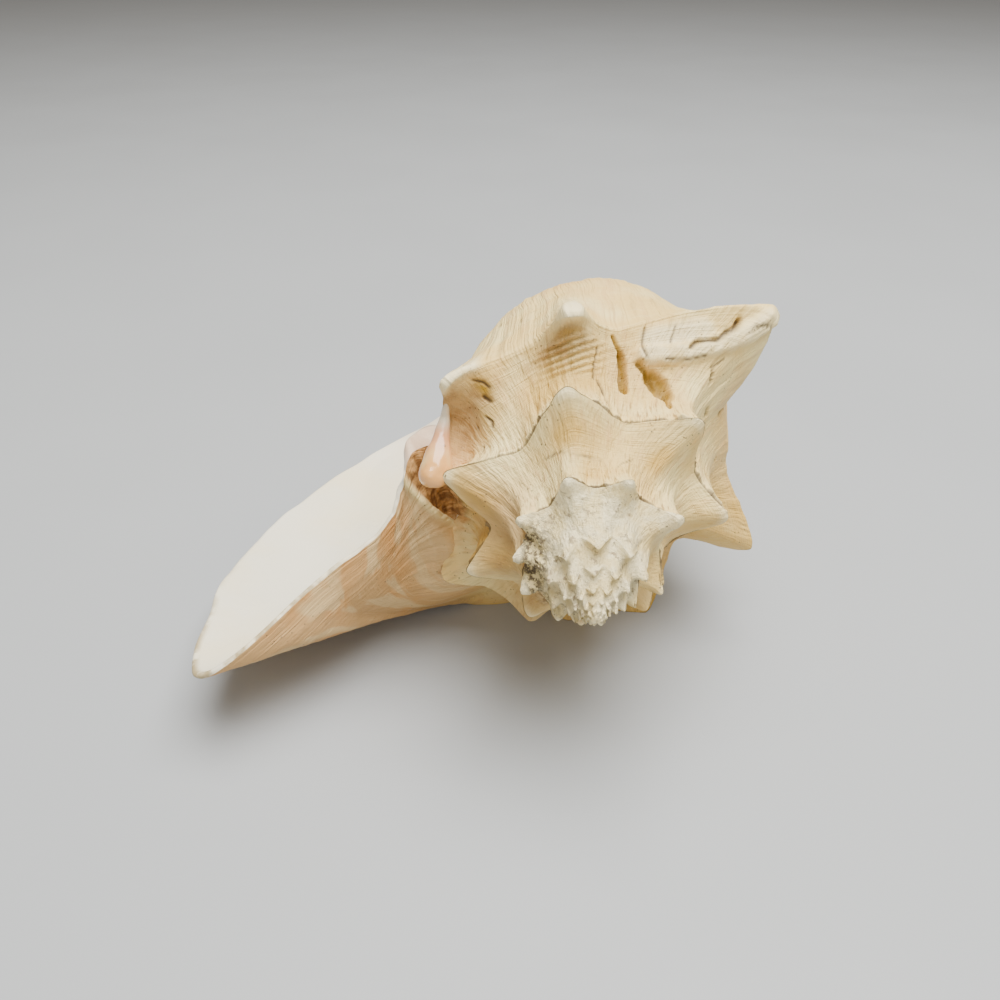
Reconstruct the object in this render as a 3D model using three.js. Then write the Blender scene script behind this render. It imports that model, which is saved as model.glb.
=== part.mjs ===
// Queen conch shell: one closed solid, skinned over the spiral that the shell grew along.
// Millimetres. +Y runs along the coiling axis from the apex to the front end, +Z is up,
// and the flared lip reaches towards -X. The shell lies on its back, mouth up, at z = 0.
import * as THREE from "three";

const FULL_TURN = 2 * Math.PI;

// Growth of the spiral. A turn is counted back from the lip, so older whorls are negative.
const SPINE_RADIUS = 75; // tip of a spine of reach 1 at turn 0
const GROWTH_PER_TURN = 1.5274;
const VALLEY_RADIUS = 0.75; // keel between two spines, as a share of SPINE_RADIUS
const VALLEY_DEPTH = 1.248;
const TIP_RADIUS = 1.0; // keel at the tip of a spine
const TIP_DEPTH = 1.078;
const FIRST_TURN = -7.25;
const APEX_HEIGHT = 1.6; // the worn cap over the first whorl
const SHELL_LENGTH = 222; // from the virtual apex to the front end

// Spines along the keel: turn, reach, half width before and after the tip, sharpness.
const spine = (turn, reach, before, after, sharpness) => ({ turn, reach, before, after, sharpness });
const BODY_SPINES = [
  spine(-0.25, 0.95, 0.06, 0.06, 1.6),
  spine(-0.314, 1.02, 0.065, 0.065, 1.6),
  spine(-0.421, 1.03, 0.075, 0.065, 1.6),
  spine(-0.627, 1.19, 0.085, 0.06, 1.25),
  spine(-0.763, 0.98, 0.07, 0.07, 1.6),
  spine(-0.878, 0.94, 0.08, 0.08, 1.3),
  spine(-0.965, 0.8, 0.05, 0.05, 1.5),
];
const SPIRE_SPINES = [
  spine(-1.114, 1.0, 0.05, 0.05, 1.6),
  spine(-1.203, 1.04, 0.06, 0.06, 1.6),
  spine(-1.36, 0.9, 0.066, 0.066, 1.6),
  spine(-1.492, 0.97, 0.07, 0.07, 1.6),
  spine(-1.634, 1.07, 0.07, 0.07, 1.6),
  spine(-1.776, 1.16, 0.07, 0.07, 1.6),
  spine(-1.925, 1.17, 0.07, 0.07, 1.6),
];
const KNOB_SPACING = 0.122; // the older whorls carry a knob at this interval
const KNOB_START = -2.06;
const KNOB_REACH = 1.0;
const WORN_KNOB_REACH = 0.86;
const KNOB_WEAR_PER_TURN = 0.07;
const SPINE_BLUNTNESS = 0.045;

// Below the keel the body whorl swells, then tapers to the front canal.
const TAPER_LENGTH = 131; // at turn 0
const TAPER_POWER = 2.2;
const TAPER_FALL = 1.6;
const FLANK_SWELL = 0.57;
const SPINE_FADE = 0.38; // share of the taper over which a spine dies away
const COLUMN_RADIUS = 9.5; // the solid column under the whorls
const FRONT_SHIFT = new THREE.Vector2(-2, -22); // the front canal bends off the axis, x and z
const BEND_START = 140;
const BACK_BULGE = { turn: -0.66, width: 0.1, height: 0.05 };
const MOUTH_SLIM = { turn: -0.9, width: 0.09, height: -0.06 };

// The keel rises to an even ridge before it runs out into the lip.
const RIDGE_START = -0.27;
const RIDGE_RUN = 0.09;
const RIDGE_HEIGHT = 0.88;

const SUTURE_DEPTH = 1.6;
const RAMP_HOLLOW = 0.07;

// The lip. Rows run from the suture over the keel (row value 1) to the front end (2).
const LIP_START = -0.2;
const MOUTH_TURN = 1 / 36;
const LIP_TURNS = [-0.3, LIP_START, -0.125, -0.05, MOUTH_TURN];
const LIP_ROWS = [0, 0.06, 0.14, 0.3, 0.5, 0.75, 1, 1.12, 1.35, 1.6, 1.82, 2];
const points = (...triples) => triples.map(([x, y, z]) => new THREE.Vector3(x, y, z));
const LIP_ROOT = points(
  [-26, 57, -26], [-30, 63, -27], [-36, 59, -30], [-40, 58, -38], [-43, 60, -46], [-45, 66, -53],
  [-47, 73, -58], [-48, 88, -61], [-46, 112, -61], [-36, 156, -56], [-20, 194, -40], [-2, 222, -22],
);
const LIP_MIDDLE = points(
  [-34, 60, -11], [-37, 66, -13], [-40, 57, -11], [-47, 53, -17], [-54, 48, -25], [-64, 43, -34],
  [-74, 40, -42], [-79, 58, -50], [-77, 104, -59], [-60, 160, -63], [-33, 200, -49], [-2, 222, -22],
);
const LIP_EDGE = points(
  [-37, 61, 7], [-41.5, 70, 6], [-46.5, 61, 9], [-50, 56, -1], [-53, 51, -7], [-69, 41, -17],
  [-106, 20, -37], [-110.5, 57, -42], [-103, 112, -53], [-77, 172, -60], [-46, 198, -57], [-2, 222, -22],
);

// Wall and cavity.
const WALL = 3.6;
const LIP_WALL = 1.6;
const LIP_THINNING = 0.14; // turns over which the wall thins towards the lip
const CAVITY_TURN = -16 / 36; // where the cavity is closed inside the shell

// The lowest spines and the lip are worn flat where the shell lies.
const GROUND = -61.5;
const LEAST_FLOOR = 1.6; // wall left over a worn patch

// Facets.
const COLUMNS_PER_TURN = 72;
const RAMP_ROWS = [0, 0.06, 0.14, 0.4, 0.7, 1];
const FLANK_ROW_COUNT = 11;

const scaleAt = (turn) => GROWTH_PER_TURN ** turn;
const clamp01 = (value) => Math.min(Math.max(value, 0), 1);
const smooth = (value) => {
  const t = clamp01(value);
  return t * t * (3 - 2 * t);
};
const bell = (turn, { turn: centre, width, height }) => height * Math.exp(-(((turn - centre) / width) ** 2));

function listSpines() {
  const knobs = [];
  for (let turn = KNOB_START; turn > FIRST_TURN - 1; turn -= KNOB_SPACING) {
    const worn = Math.max(WORN_KNOB_REACH, KNOB_REACH + KNOB_WEAR_PER_TURN * (turn - KNOB_START));
    knobs.push(spine(turn, worn, 0.064, 0.064, 1.5));
  }
  return [...BODY_SPINES, ...SPIRE_SPINES, ...knobs];
}
const SPINES = listSpines();

// How strongly the nearest spine lifts the keel at a turn, and that spine's reach.
function spineAt(turn) {
  let best = { lift: 0, reach: 1 };
  for (const { turn: centre, reach, before, after, sharpness } of SPINES) {
    const away = (turn - centre) / (turn < centre ? before : after);
    const distance = Math.min(Math.hypot(away, SPINE_BLUNTNESS) - SPINE_BLUNTNESS, 1);
    const lift = (1 - distance) ** sharpness;
    if (lift > best.lift) best = { lift, reach };
  }
  return best;
}

// The keel at a turn: the valley's radius and depth, and how far the spine moves it out.
function keelAt(turn, withSpines) {
  const size = SPINE_RADIUS * scaleAt(turn);
  const ridge = RIDGE_HEIGHT * smooth((turn - RIDGE_START) / RIDGE_RUN);
  let out = size * (TIP_RADIUS - VALLEY_RADIUS) * ridge;
  let down = size * (TIP_DEPTH - VALLEY_DEPTH) * ridge;
  if (withSpines) {
    const { lift, reach } = spineAt(turn);
    const spineOut = size * lift * (reach * TIP_RADIUS - VALLEY_RADIUS);
    if (spineOut > out) {
      out = spineOut;
      down = size * lift * (reach * TIP_DEPTH - VALLEY_DEPTH);
    }
  }
  return { radius: size * VALLEY_RADIUS, depth: size * VALLEY_DEPTH, out, down };
}

function place(radius, depth, turn) {
  const angle = FULL_TURN * turn;
  const bend = clamp01((depth - BEND_START) / (SHELL_LENGTH - BEND_START)) ** 2;
  return new THREE.Vector3(
    -radius * Math.cos(angle) + FRONT_SHIFT.x * bend,
    depth,
    radius * Math.sin(angle) + FRONT_SHIFT.y * bend,
  );
}

// A point of the coiled outside. Row 0 is the suture, 1 the keel and 2 the front end.
function whorlPoint(turn, row, withSpines) {
  const above = keelAt(turn - 1, withSpines);
  const below = keelAt(turn, withSpines);
  if (row > 1) return flankPoint(turn, row - 1, below);
  const run = new THREE.Vector2(below.radius - above.radius, below.depth - above.depth);
  const hollow = -RAMP_HOLLOW * Math.sin(Math.PI * row);
  const drop = scaleAt(turn) * SUTURE_DEPTH * smooth(row / 0.05) * Math.exp(-5 * row);
  const start = (1 - row) ** 2.2;
  const end = row ** 2;
  const radius = above.radius + run.x * row + above.out * start + below.out * end + hollow * run.y;
  const depth = above.depth + run.y * row + above.down * start + below.down * end - hollow * run.x + drop;
  return place(radius, depth, turn);
}

function flankPoint(turn, share, keel) {
  const depth = keel.depth + (SHELL_LENGTH - keel.depth) * share;
  const taper = clamp01((depth - keel.depth) / (TAPER_LENGTH * scaleAt(turn)));
  const swell = (bell(turn, BACK_BULGE) + bell(turn, MOUTH_SLIM)) * Math.sin(Math.PI * clamp01(taper / 0.7));
  const profile = (1 + FLANK_SWELL * taper) * (1 - taper ** TAPER_POWER) ** TAPER_FALL * (1 + swell);
  const column = COLUMN_RADIUS * Math.sqrt(1 - clamp01(depth / SHELL_LENGTH) ** 5);
  const fade = clamp01(1 - taper / SPINE_FADE) ** 2.4;
  return place(column + (keel.radius - column) * profile + keel.out * fade, depth + keel.down * fade, turn);
}

// A smooth curve through points at uneven knots.
function curveThrough(knots, curve, at) {
  const last = knots.length - 1;
  const slope = (i) => curve[i + 1].clone().sub(curve[i]).divideScalar(knots[i + 1] - knots[i]);
  const tangent = (i) => {
    if (i === 0) return slope(0);
    if (i === last) return slope(last - 1);
    const before = knots[i] - knots[i - 1];
    const after = knots[i + 1] - knots[i];
    return slope(i - 1).multiplyScalar(after).addScaledVector(slope(i), before).divideScalar(before + after);
  };
  let i = 0;
  while (i < last - 1 && at >= knots[i + 1]) i += 1;
  const step = knots[i + 1] - knots[i];
  const t = (at - knots[i]) / step;
  return new THREE.Vector3()
    .addScaledVector(curve[i], 2 * t ** 3 - 3 * t ** 2 + 1)
    .addScaledVector(tangent(i), step * (t ** 3 - 2 * t ** 2 + t))
    .addScaledVector(curve[i + 1], 3 * t ** 2 - 2 * t ** 3)
    .addScaledVector(tangent(i + 1), step * (t ** 3 - t ** 2));
}

// The lip leaves the whorl along the whorl's own direction and follows the three lip curves.
function lipPoint(turn, row) {
  const nudge = 0.01;
  const root = whorlPoint(LIP_START, row, false);
  const before = whorlPoint(LIP_START - nudge, row, false);
  const lead = before.sub(root).multiplyScalar((LIP_START - LIP_TURNS[0]) / nudge).add(root);
  const sections = [LIP_ROOT, LIP_MIDDLE, LIP_EDGE].map((section) => curveThrough(LIP_ROWS, section, row));
  return curveThrough(LIP_TURNS, [lead, root, ...sections], turn);
}

function outerPoint(turn, row, withSpines = true) {
  if (turn <= LIP_START) return whorlPoint(turn, row, withSpines);
  const point = lipPoint(turn, row);
  const hold = clamp01(1 - row / 0.12) ** 2;
  if (hold > 0) {
    const keel = keelAt(turn - 1, withSpines);
    const suture = place(keel.radius + keel.out, keel.depth + keel.down, turn);
    point.addScaledVector(suture.sub(lipPoint(turn, 0)), hold);
  }
  return point;
}

// The inner face of the wall: the outside without its spines, moved in by the wall.
function innerPoint(turn, row) {
  const nudge = 0.001;
  const later = Math.min(turn + nudge, MOUTH_TURN);
  const safeRow = Math.min(Math.max(row, 2 * nudge), 2 - 15 * nudge);
  const along = outerPoint(later, row, false).sub(outerPoint(turn - nudge, row, false));
  const across = outerPoint(turn, safeRow + nudge, false).sub(outerPoint(turn, safeRow - nudge, false));
  const outward = along.cross(across).normalize();
  const wall = LIP_WALL + (WALL - LIP_WALL) * smooth((MOUTH_TURN - turn) / LIP_THINNING);
  return outerPoint(turn, row, false).addScaledVector(outward, -wall);
}

const RAMP_LAST = RAMP_ROWS.length - 1;
const flankRow = (index) => 1 + index / FLANK_ROW_COUNT;
const FLANK_ROWS = Array.from({ length: FLANK_ROW_COUNT }, (_, index) => flankRow(index + 1));
const ALL_ROWS = [...RAMP_ROWS, ...FLANK_ROWS];
const ALL_LAST = ALL_ROWS.length - 1;
const FIRST_COLUMN = Math.round(FIRST_TURN * COLUMNS_PER_TURN);
const MOUTH_COLUMN = Math.round(MOUTH_TURN * COLUMNS_PER_TURN);
const CAVITY_COLUMN = Math.round(CAVITY_TURN * COLUMNS_PER_TURN);

// A column stands at its even share of the turn, or on a spine's tip if one is that near.
function turnOfColumn(column) {
  const even = column / COLUMNS_PER_TURN;
  const near = SPINES.find(({ turn }) => Math.abs(turn - even) < 0.5 / COLUMNS_PER_TURN);
  return near ? near.turn : even;
}

// Collects the vertices by name and the faces, each wound to face out.
class Skin {
  constructor() {
    this.positions = [];
    this.index = new Map();
    this.faces = [];
  }

  vertex(name, makePoint, floor) {
    if (!this.index.has(name)) {
      const point = makePoint();
      this.index.set(name, this.positions.length / 3);
      this.positions.push(point.x, point.y, Math.max(point.z, floor));
    }
    return this.index.get(name);
  }

  face(...corners) {
    const ring = corners.filter((corner, i) => corner !== corners[(i + 1) % corners.length]);
    for (let i = 1; i < ring.length - 1; i += 1) this.faces.push(ring[0], ring[i], ring[i + 1]);
  }

  point(index) {
    return new THREE.Vector3().fromArray(this.positions, 3 * index);
  }

  // Closes a ring of vertices with a cone whose tip stands forward of it, towards -Y.
  fan(ring, name, height) {
    const centre = new THREE.Vector3(0, -height, 0);
    ring.forEach((index) => centre.addScaledVector(this.point(index), 1 / ring.length));
    const hub = this.vertex(name, () => centre, GROUND);
    ring.forEach((index, i) => this.face(index, ring[(i + 1) % ring.length], hub));
  }

  geometry() {
    const geometry = new THREE.BufferGeometry();
    geometry.setAttribute("position", new THREE.Float32BufferAttribute(this.positions, 3));
    geometry.setIndex(this.faces);
    return geometry;
  }
}

function buildSkin() {
  const skin = new Skin();
  const outside = (name, column, row) =>
    skin.vertex(name, () => outerPoint(turnOfColumn(column), row), GROUND);

  // Row 0 of a whorl is the keel of the whorl before, so the two are joined along the suture.
  const ramp = (column, i) => {
    if (i === RAMP_LAST) return outside(`keel ${column}`, column, 1);
    if (i === 0 && column - COLUMNS_PER_TURN >= FIRST_COLUMN) return ramp(column - COLUMNS_PER_TURN, RAMP_LAST);
    return outside(`ramp ${column} ${i}`, column, RAMP_ROWS[i]);
  };
  const flank = (column, i) => {
    if (i === 0) return ramp(column, RAMP_LAST);
    if (i === FLANK_ROW_COUNT) return outside("front end", MOUTH_COLUMN, 2);
    return outside(`flank ${column} ${i}`, column, flankRow(i));
  };
  const inside = (column, i) => {
    if (i === 0) return flank(column - COLUMNS_PER_TURN, 1);
    if (i === ALL_LAST) return flank(column - COLUMNS_PER_TURN, FLANK_ROW_COUNT - 1);
    return skin.vertex(`inside ${column} ${i}`, () => cavityPoint(column, i), GROUND + LEAST_FLOOR);
  };
  // The wall's inner face, bent so that its two ends meet the whorl that it closes against.
  const cavityPoint = (column, i) => {
    const turn = turnOfColumn(column);
    const row = ALL_ROWS[i];
    const point = innerPoint(turn, row);
    const nearSuture = clamp01(1 - row / 0.45) ** 2;
    const nearFront = clamp01((row - 1.8) / 0.2) ** 2;
    const sutureGap = skin.point(inside(column, 0)).sub(innerPoint(turn, 0));
    const frontGap = skin.point(inside(column, ALL_LAST)).sub(innerPoint(turn, 2));
    return point.addScaledVector(sutureGap, nearSuture).addScaledVector(frontGap, nearFront);
  };
  const patch = (vertexAt, fromColumn, toColumn, fromRow, toRow) => {
    for (let column = fromColumn; column < toColumn; column += 1) {
      for (let i = fromRow; i < toRow; i += 1) {
        const here = vertexAt(column, i);
        const next = vertexAt(column + 1, i);
        skin.face(next, vertexAt(column + 1, i + 1), vertexAt(column, i + 1), here);
      }
    }
  };

  patch(ramp, FIRST_COLUMN, MOUTH_COLUMN, 0, RAMP_LAST);
  patch(flank, MOUTH_COLUMN - COLUMNS_PER_TURN, MOUTH_COLUMN, 0, FLANK_ROW_COUNT);
  // The whorl inside the mouth, which the body whorl wraps around.
  patch(flank, CAVITY_COLUMN - COLUMNS_PER_TURN, MOUTH_COLUMN - COLUMNS_PER_TURN, 1, FLANK_ROW_COUNT - 1);
  patch((column, i) => inside(-column, i), -MOUTH_COLUMN, -CAVITY_COLUMN, 0, ALL_LAST);

  const rows = [...ALL_ROWS.keys()];
  const rimOutside = (i) => (i <= RAMP_LAST ? ramp(MOUTH_COLUMN, i) : flank(MOUTH_COLUMN, i - RAMP_LAST));
  for (const i of rows.slice(0, -1)) {
    skin.face(inside(MOUTH_COLUMN, i), inside(MOUTH_COLUMN, i + 1), rimOutside(i + 1), rimOutside(i));
  }

  const firstWhorl = Array.from({ length: COLUMNS_PER_TURN }, (_, k) => ramp(FIRST_COLUMN + k, 0));
  const firstSection = RAMP_ROWS.map((_, i) => ramp(FIRST_COLUMN, RAMP_LAST - i)).slice(0, -1);
  skin.fan([...firstWhorl, ...firstSection].reverse(), "apex", APEX_HEIGHT);

  const cavityEnd = rows.map((i) => inside(CAVITY_COLUMN, i));
  for (let i = FLANK_ROW_COUNT - 2; i > 1; i -= 1) cavityEnd.push(flank(CAVITY_COLUMN - COLUMNS_PER_TURN, i));
  skin.fan(cavityEnd.reverse(), "cavity end", 0);
  return skin;
}

// Moves the shell so that it lies on z = 0 with the middle of its box over the origin.
function settle(geometry) {
  geometry.computeBoundingBox();
  const { min, max } = geometry.boundingBox;
  geometry.translate(-(min.x + max.x) / 2, -(min.y + max.y) / 2, -GROUND);
  return geometry;
}

const shellWhite = new THREE.MeshStandardMaterial({ color: 0xe6d9c2, roughness: 0.6, metalness: 0 });
const shell = new THREE.Mesh(settle(buildSkin().geometry()), shellWhite);
shell.name = "conch_shell";

const conch = new THREE.Group();
conch.add(shell);
export default conch;
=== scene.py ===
"""Queen conch shell: the fine visual skin of the shell, its finishes, and the studio around it.

The shell is skinned over the spiral that it grew along, by the same rule as the solid model but with
many more facets, and with the growth lines, cracks, pits and worn lumps in the mesh.
"""
import logging
import math
from dataclasses import dataclass, field
from enum import Enum
from typing import NamedTuple, Sequence

import bmesh
import bpy
import numpy as np
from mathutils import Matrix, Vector


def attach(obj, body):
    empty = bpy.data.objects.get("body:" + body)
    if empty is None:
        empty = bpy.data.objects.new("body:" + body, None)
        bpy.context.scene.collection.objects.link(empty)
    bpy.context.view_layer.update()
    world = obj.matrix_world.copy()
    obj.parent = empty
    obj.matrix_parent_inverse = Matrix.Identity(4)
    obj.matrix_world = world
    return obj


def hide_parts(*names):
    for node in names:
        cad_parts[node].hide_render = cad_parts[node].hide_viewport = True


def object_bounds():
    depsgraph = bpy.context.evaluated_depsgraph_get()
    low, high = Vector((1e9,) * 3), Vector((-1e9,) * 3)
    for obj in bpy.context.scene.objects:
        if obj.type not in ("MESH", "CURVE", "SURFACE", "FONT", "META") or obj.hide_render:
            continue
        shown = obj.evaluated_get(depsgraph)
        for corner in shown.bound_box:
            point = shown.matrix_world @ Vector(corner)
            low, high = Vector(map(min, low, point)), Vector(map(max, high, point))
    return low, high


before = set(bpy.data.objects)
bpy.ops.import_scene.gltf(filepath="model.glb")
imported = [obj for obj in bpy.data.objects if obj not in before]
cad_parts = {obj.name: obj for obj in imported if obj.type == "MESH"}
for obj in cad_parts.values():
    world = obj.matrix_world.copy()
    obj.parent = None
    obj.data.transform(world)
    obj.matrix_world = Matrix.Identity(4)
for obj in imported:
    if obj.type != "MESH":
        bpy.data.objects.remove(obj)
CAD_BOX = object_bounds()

log = logging.getLogger("conch")
Array = np.ndarray
Triple = tuple[float, float, float]
FULL_TURN = 2 * math.pi
MM = 0.001
NODE = "conch_shell"
FAR_AWAY = 99.0
KEPT_MASKS = {
    "wear", "white", "lip", "dirt", "edge", "ochre", "dark", "yellow", "brown", "crust", "glaze", "growth",
    "row", "rim", "deep", "upper",
}


class Sum(Enum):
    """The ways in which a material combines two numbers."""

    ADD = "ADD"
    TAKE = "SUBTRACT"
    TIMES = "MULTIPLY"


def smooth(value: Array) -> Array:
    """Ease a value from 0 to 1 over that same range."""
    t = np.clip(value, 0, 1)
    return t * t * (3 - 2 * t)


def bell(value: Array, centre: float, width: float) -> Array:
    """Return a bell of height 1 around a centre."""
    return np.exp(-(((value - centre) / width) ** 2))


class Noise:
    """Repeatable smooth noise over points in millimetres."""

    def __init__(self, seed: int) -> None:
        """Fill the table of lattice values.

        Args:
            seed: Any whole number; each gives another pattern.
        """
        self.table = np.random.default_rng(seed).uniform(-1, 1, 4096)

    def _lattice(self, cell: Array) -> Array:
        """Return the value at each whole-number lattice corner."""
        key = cell[..., 0] * 73856093 ^ cell[..., 1] * 19349663 ^ cell[..., 2] * 83492791
        return self.table[np.mod(key, 4096)]

    def at(self, points: Array, size: float) -> Array:
        """Sample the noise.

        Args:
            points: Places, shape (..., 3), in millimetres.
            size: Width of one lump, in millimetres.

        Returns:
            Values from -1 to 1, one for each place.
        """
        scaled = points / size
        base = np.floor(scaled).astype(np.int64)
        t = scaled - base
        t = t * t * (3 - 2 * t)
        total = np.zeros(points.shape[:-1])
        for x, y, z in np.ndindex(2, 2, 2):
            weight = t[..., 0] if x else 1 - t[..., 0]
            weight = weight * (t[..., 1] if y else 1 - t[..., 1])
            weight = weight * (t[..., 2] if z else 1 - t[..., 2])
            total += weight * self._lattice(base + np.array((x, y, z)))
        return total

    def layered(self, points: Array, size: float, layers: int = 3) -> Array:
        """Add up finer and finer layers of the noise.

        Args:
            points: Places, shape (..., 3), in millimetres.
            size: Width of the largest lumps, in millimetres.
            layers: How many layers, each half the size of the last.

        Returns:
            Values from about -1 to 1.
        """
        return sum(self.at(points + 31.7 * n, size / 2**n) / 2**n for n in range(layers)) / 1.6


@dataclass(frozen=True)
class Spine:
    """One spine of the keel: its turn, reach, half widths in turns, and sharpness."""

    turn: float
    reach: float
    before: float
    after: float
    sharpness: float


class KeelLine(NamedTuple):
    """The keel's valley line, and how far spines or the ridge move it."""

    radius: Array
    depth: Array
    out: Array
    down: Array


@dataclass(frozen=True)
class Spiral:
    """The rule of growth: every size is in millimetres, and turns count back from the lip."""

    spine_radius: float = 75.0
    growth_per_turn: float = 1.5274
    valley_radius: float = 0.75
    valley_depth: float = 1.248
    tip_radius: float = 1.0
    tip_depth: float = 1.078
    first_turn: float = -7.25
    length: float = 222.0
    front_shift: tuple[float, float] = (-2.0, -22.0)
    bend_start: float = 140.0
    bluntness: float = 0.10
    ridge_start: float = -0.27
    ridge_run: float = 0.09
    ridge_height: float = 0.88
    spines: tuple[Spine, ...] = (
        Spine(-0.25, 0.95, 0.06, 0.06, 1.6),
        Spine(-0.314, 1.02, 0.065, 0.065, 1.6),
        Spine(-0.421, 1.03, 0.062, 0.055, 1.8),
        Spine(-0.627, 1.19, 0.085, 0.06, 1.25),
        Spine(-0.763, 0.98, 0.07, 0.07, 1.6),
        Spine(-0.878, 0.94, 0.08, 0.08, 1.3),
        Spine(-0.965, 0.72, 0.05, 0.05, 1.5),
        Spine(-1.112, 1.10, 0.088, 0.055, 1.3),
        Spine(-1.203, 0.98, 0.06, 0.055, 1.5),
        Spine(-1.335, 0.93, 0.06, 0.06, 1.6),
        Spine(-1.5, 0.97, 0.085, 0.085, 2.0),
        Spine(-1.6255, 1.075, 0.085, 0.085, 2.0),
        Spine(-1.776, 1.10, 0.095, 0.095, 1.9),
        Spine(-1.946, 1.18, 0.066, 0.095, 1.7),
        Spine(-2.072, 1.10, 0.08, 0.062, 1.6),
        Spine(-2.179, 1.08, 0.055, 0.055, 1.4),
        Spine(-2.25, 0.95, 0.05, 0.05, 1.5),
        Spine(-2.411, 0.87, 0.06, 0.06, 1.5),
        Spine(-2.565, 0.99, 0.07, 0.07, 2.0),
        Spine(-2.688, 1.0, 0.062, 0.065, 2.0),
        Spine(-2.791, 1.03, 0.065, 0.062, 2.0),
        Spine(-2.902, 1.0, 0.04, 0.045, 1.35),
        Spine(-2.973, 0.87, 0.04, 0.035, 1.35),
    )
    knob_start: float = -3.06
    knob_spacing: float = 0.113
    knob_reach: float = 0.84
    worn_reach: float = 0.78
    knob_wear: float = 0.12

    def all_spines(self) -> list[Spine]:
        """List the named spines and the knobs of the older whorls.

        Returns:
            All spines.
        """
        turns = np.arange(self.knob_start, self.first_turn - 1, -self.knob_spacing)
        reaches = np.maximum(self.worn_reach, self.knob_reach + self.knob_wear * (turns - self.knob_start))
        knobs = [Spine(turn, reach, 0.058, 0.058, 1.4) for turn, reach in zip(turns, reaches)]
        return [*self.spines, *knobs]

    def size(self, turn: Array) -> Array:
        """Return the spiral's size at a turn, in millimetres."""
        return self.spine_radius * self.growth_per_turn**turn

    def keel(self, turn: Array, with_spines: bool) -> KeelLine:
        """Work out the keel at each turn.

        Args:
            turn: Turns along the spiral.
            with_spines: Whether the spines stand on the keel.

        Returns:
            The keel line in millimetres.
        """
        turn = np.asarray(turn, float)
        size = self.size(turn)
        ridge = self.ridge_height * smooth((turn - self.ridge_start) / self.ridge_run)
        out = size * (self.tip_radius - self.valley_radius) * ridge
        down = size * (self.tip_depth - self.valley_depth) * ridge
        if with_spines:
            spine_out = np.zeros_like(turn)
            spine_down = np.zeros_like(turn)
            for spine in self.all_spines():
                away = (turn - spine.turn) / np.where(turn < spine.turn, spine.before, spine.after)
                near = 1 - np.minimum(np.hypot(away, self.bluntness) - self.bluntness, 1)
                lift = size * near**spine.sharpness
                spine_out += lift * (spine.reach * self.tip_radius - self.valley_radius)
                spine_down += lift * (spine.reach * self.tip_depth - self.valley_depth)
            taller = spine_out > out
            out = np.where(taller, spine_out, out)
            down = np.where(taller, spine_down, down)
        return KeelLine(size * self.valley_radius, size * self.valley_depth, out, down)

    def place(self, radius: Array, depth: Array, turn: Array) -> Array:
        """Place points around the axis.

        Args:
            radius: Distances from the axis.
            depth: Distances from the apex along the axis.
            turn: Turns around the axis.

        Returns:
            Points, shape (..., 3), in millimetres.
        """
        bend = np.clip((depth - self.bend_start) / (self.length - self.bend_start), 0, 1) ** 2
        x = -radius * np.cos(FULL_TURN * turn) + self.front_shift[0] * bend
        z = radius * np.sin(FULL_TURN * turn) + self.front_shift[1] * bend
        return np.stack([x, depth, z], axis=-1)


def curve_through(knots: Sequence[float], curve: Sequence[Array], at: Array) -> Array:
    """Follow a smooth curve through points at uneven knots.

    Args:
        knots: The rising knot values.
        curve: The point, or array of points, at each knot.
        at: Where to evaluate.

    Returns:
        Points, shape of at plus (3,).
    """
    last = len(knots) - 1
    slopes = [(curve[i + 1] - curve[i]) / (knots[i + 1] - knots[i]) for i in range(last)]
    tangents = [slopes[0]]
    for i in range(1, last):
        before, after = knots[i] - knots[i - 1], knots[i + 1] - knots[i]
        tangents.append((slopes[i - 1] * after + slopes[i] * before) / (before + after))
    tangents.append(slopes[-1])
    span = np.clip(np.searchsorted(knots, at, side="right") - 1, 0, last - 1)
    total = np.zeros(np.shape(at) + (3,))
    for i in range(last):
        step = knots[i + 1] - knots[i]
        t = ((at - knots[i]) / step)[..., None]
        value = (2 * t**3 - 3 * t**2 + 1) * curve[i] + step * (t**3 - 2 * t**2 + t) * tangents[i]
        value = value + (3 * t**2 - 2 * t**3) * curve[i + 1] + step * (t**3 - t**2) * tangents[i + 1]
        total = np.where((span == i)[..., None], value, total)
    return total


@dataclass(frozen=True)
class Nudge:
    """A gentle push of part of the form: its middle and half widths in turn and row, and the push."""

    turn: float
    row: float
    turn_width: float
    row_width: float
    push: Triple

    def shift(self, turn: Array, row: Array) -> Array:
        """Return the push at each place, in millimetres."""
        share = bell(turn, self.turn, self.turn_width) * bell(row, self.row, self.row_width)
        return share[..., None] * np.array(self.push)


NUDGES = (
    Nudge(-0.627, 1.0, 0.055, 0.40, (3.2, 0.0, -2.9)),
    Nudge(-0.878, 1.0, 0.035, 0.22, (-0.9, 0.0, 1.7)),
    Nudge(-0.088, 0.12, 0.022, 0.075, (3.6, -1.5, 0.0)),
    Nudge(-0.735, 1.0, 0.018, 0.16, (-0.8, 0.0, -1.6)),
    Nudge(-0.797, 1.0, 0.020, 0.16, (0.6, 0.0, -1.2)),
    Nudge(-0.421, 1.0, 0.030, 0.30, (0.0, 0.0, -1.5)),
)


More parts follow.
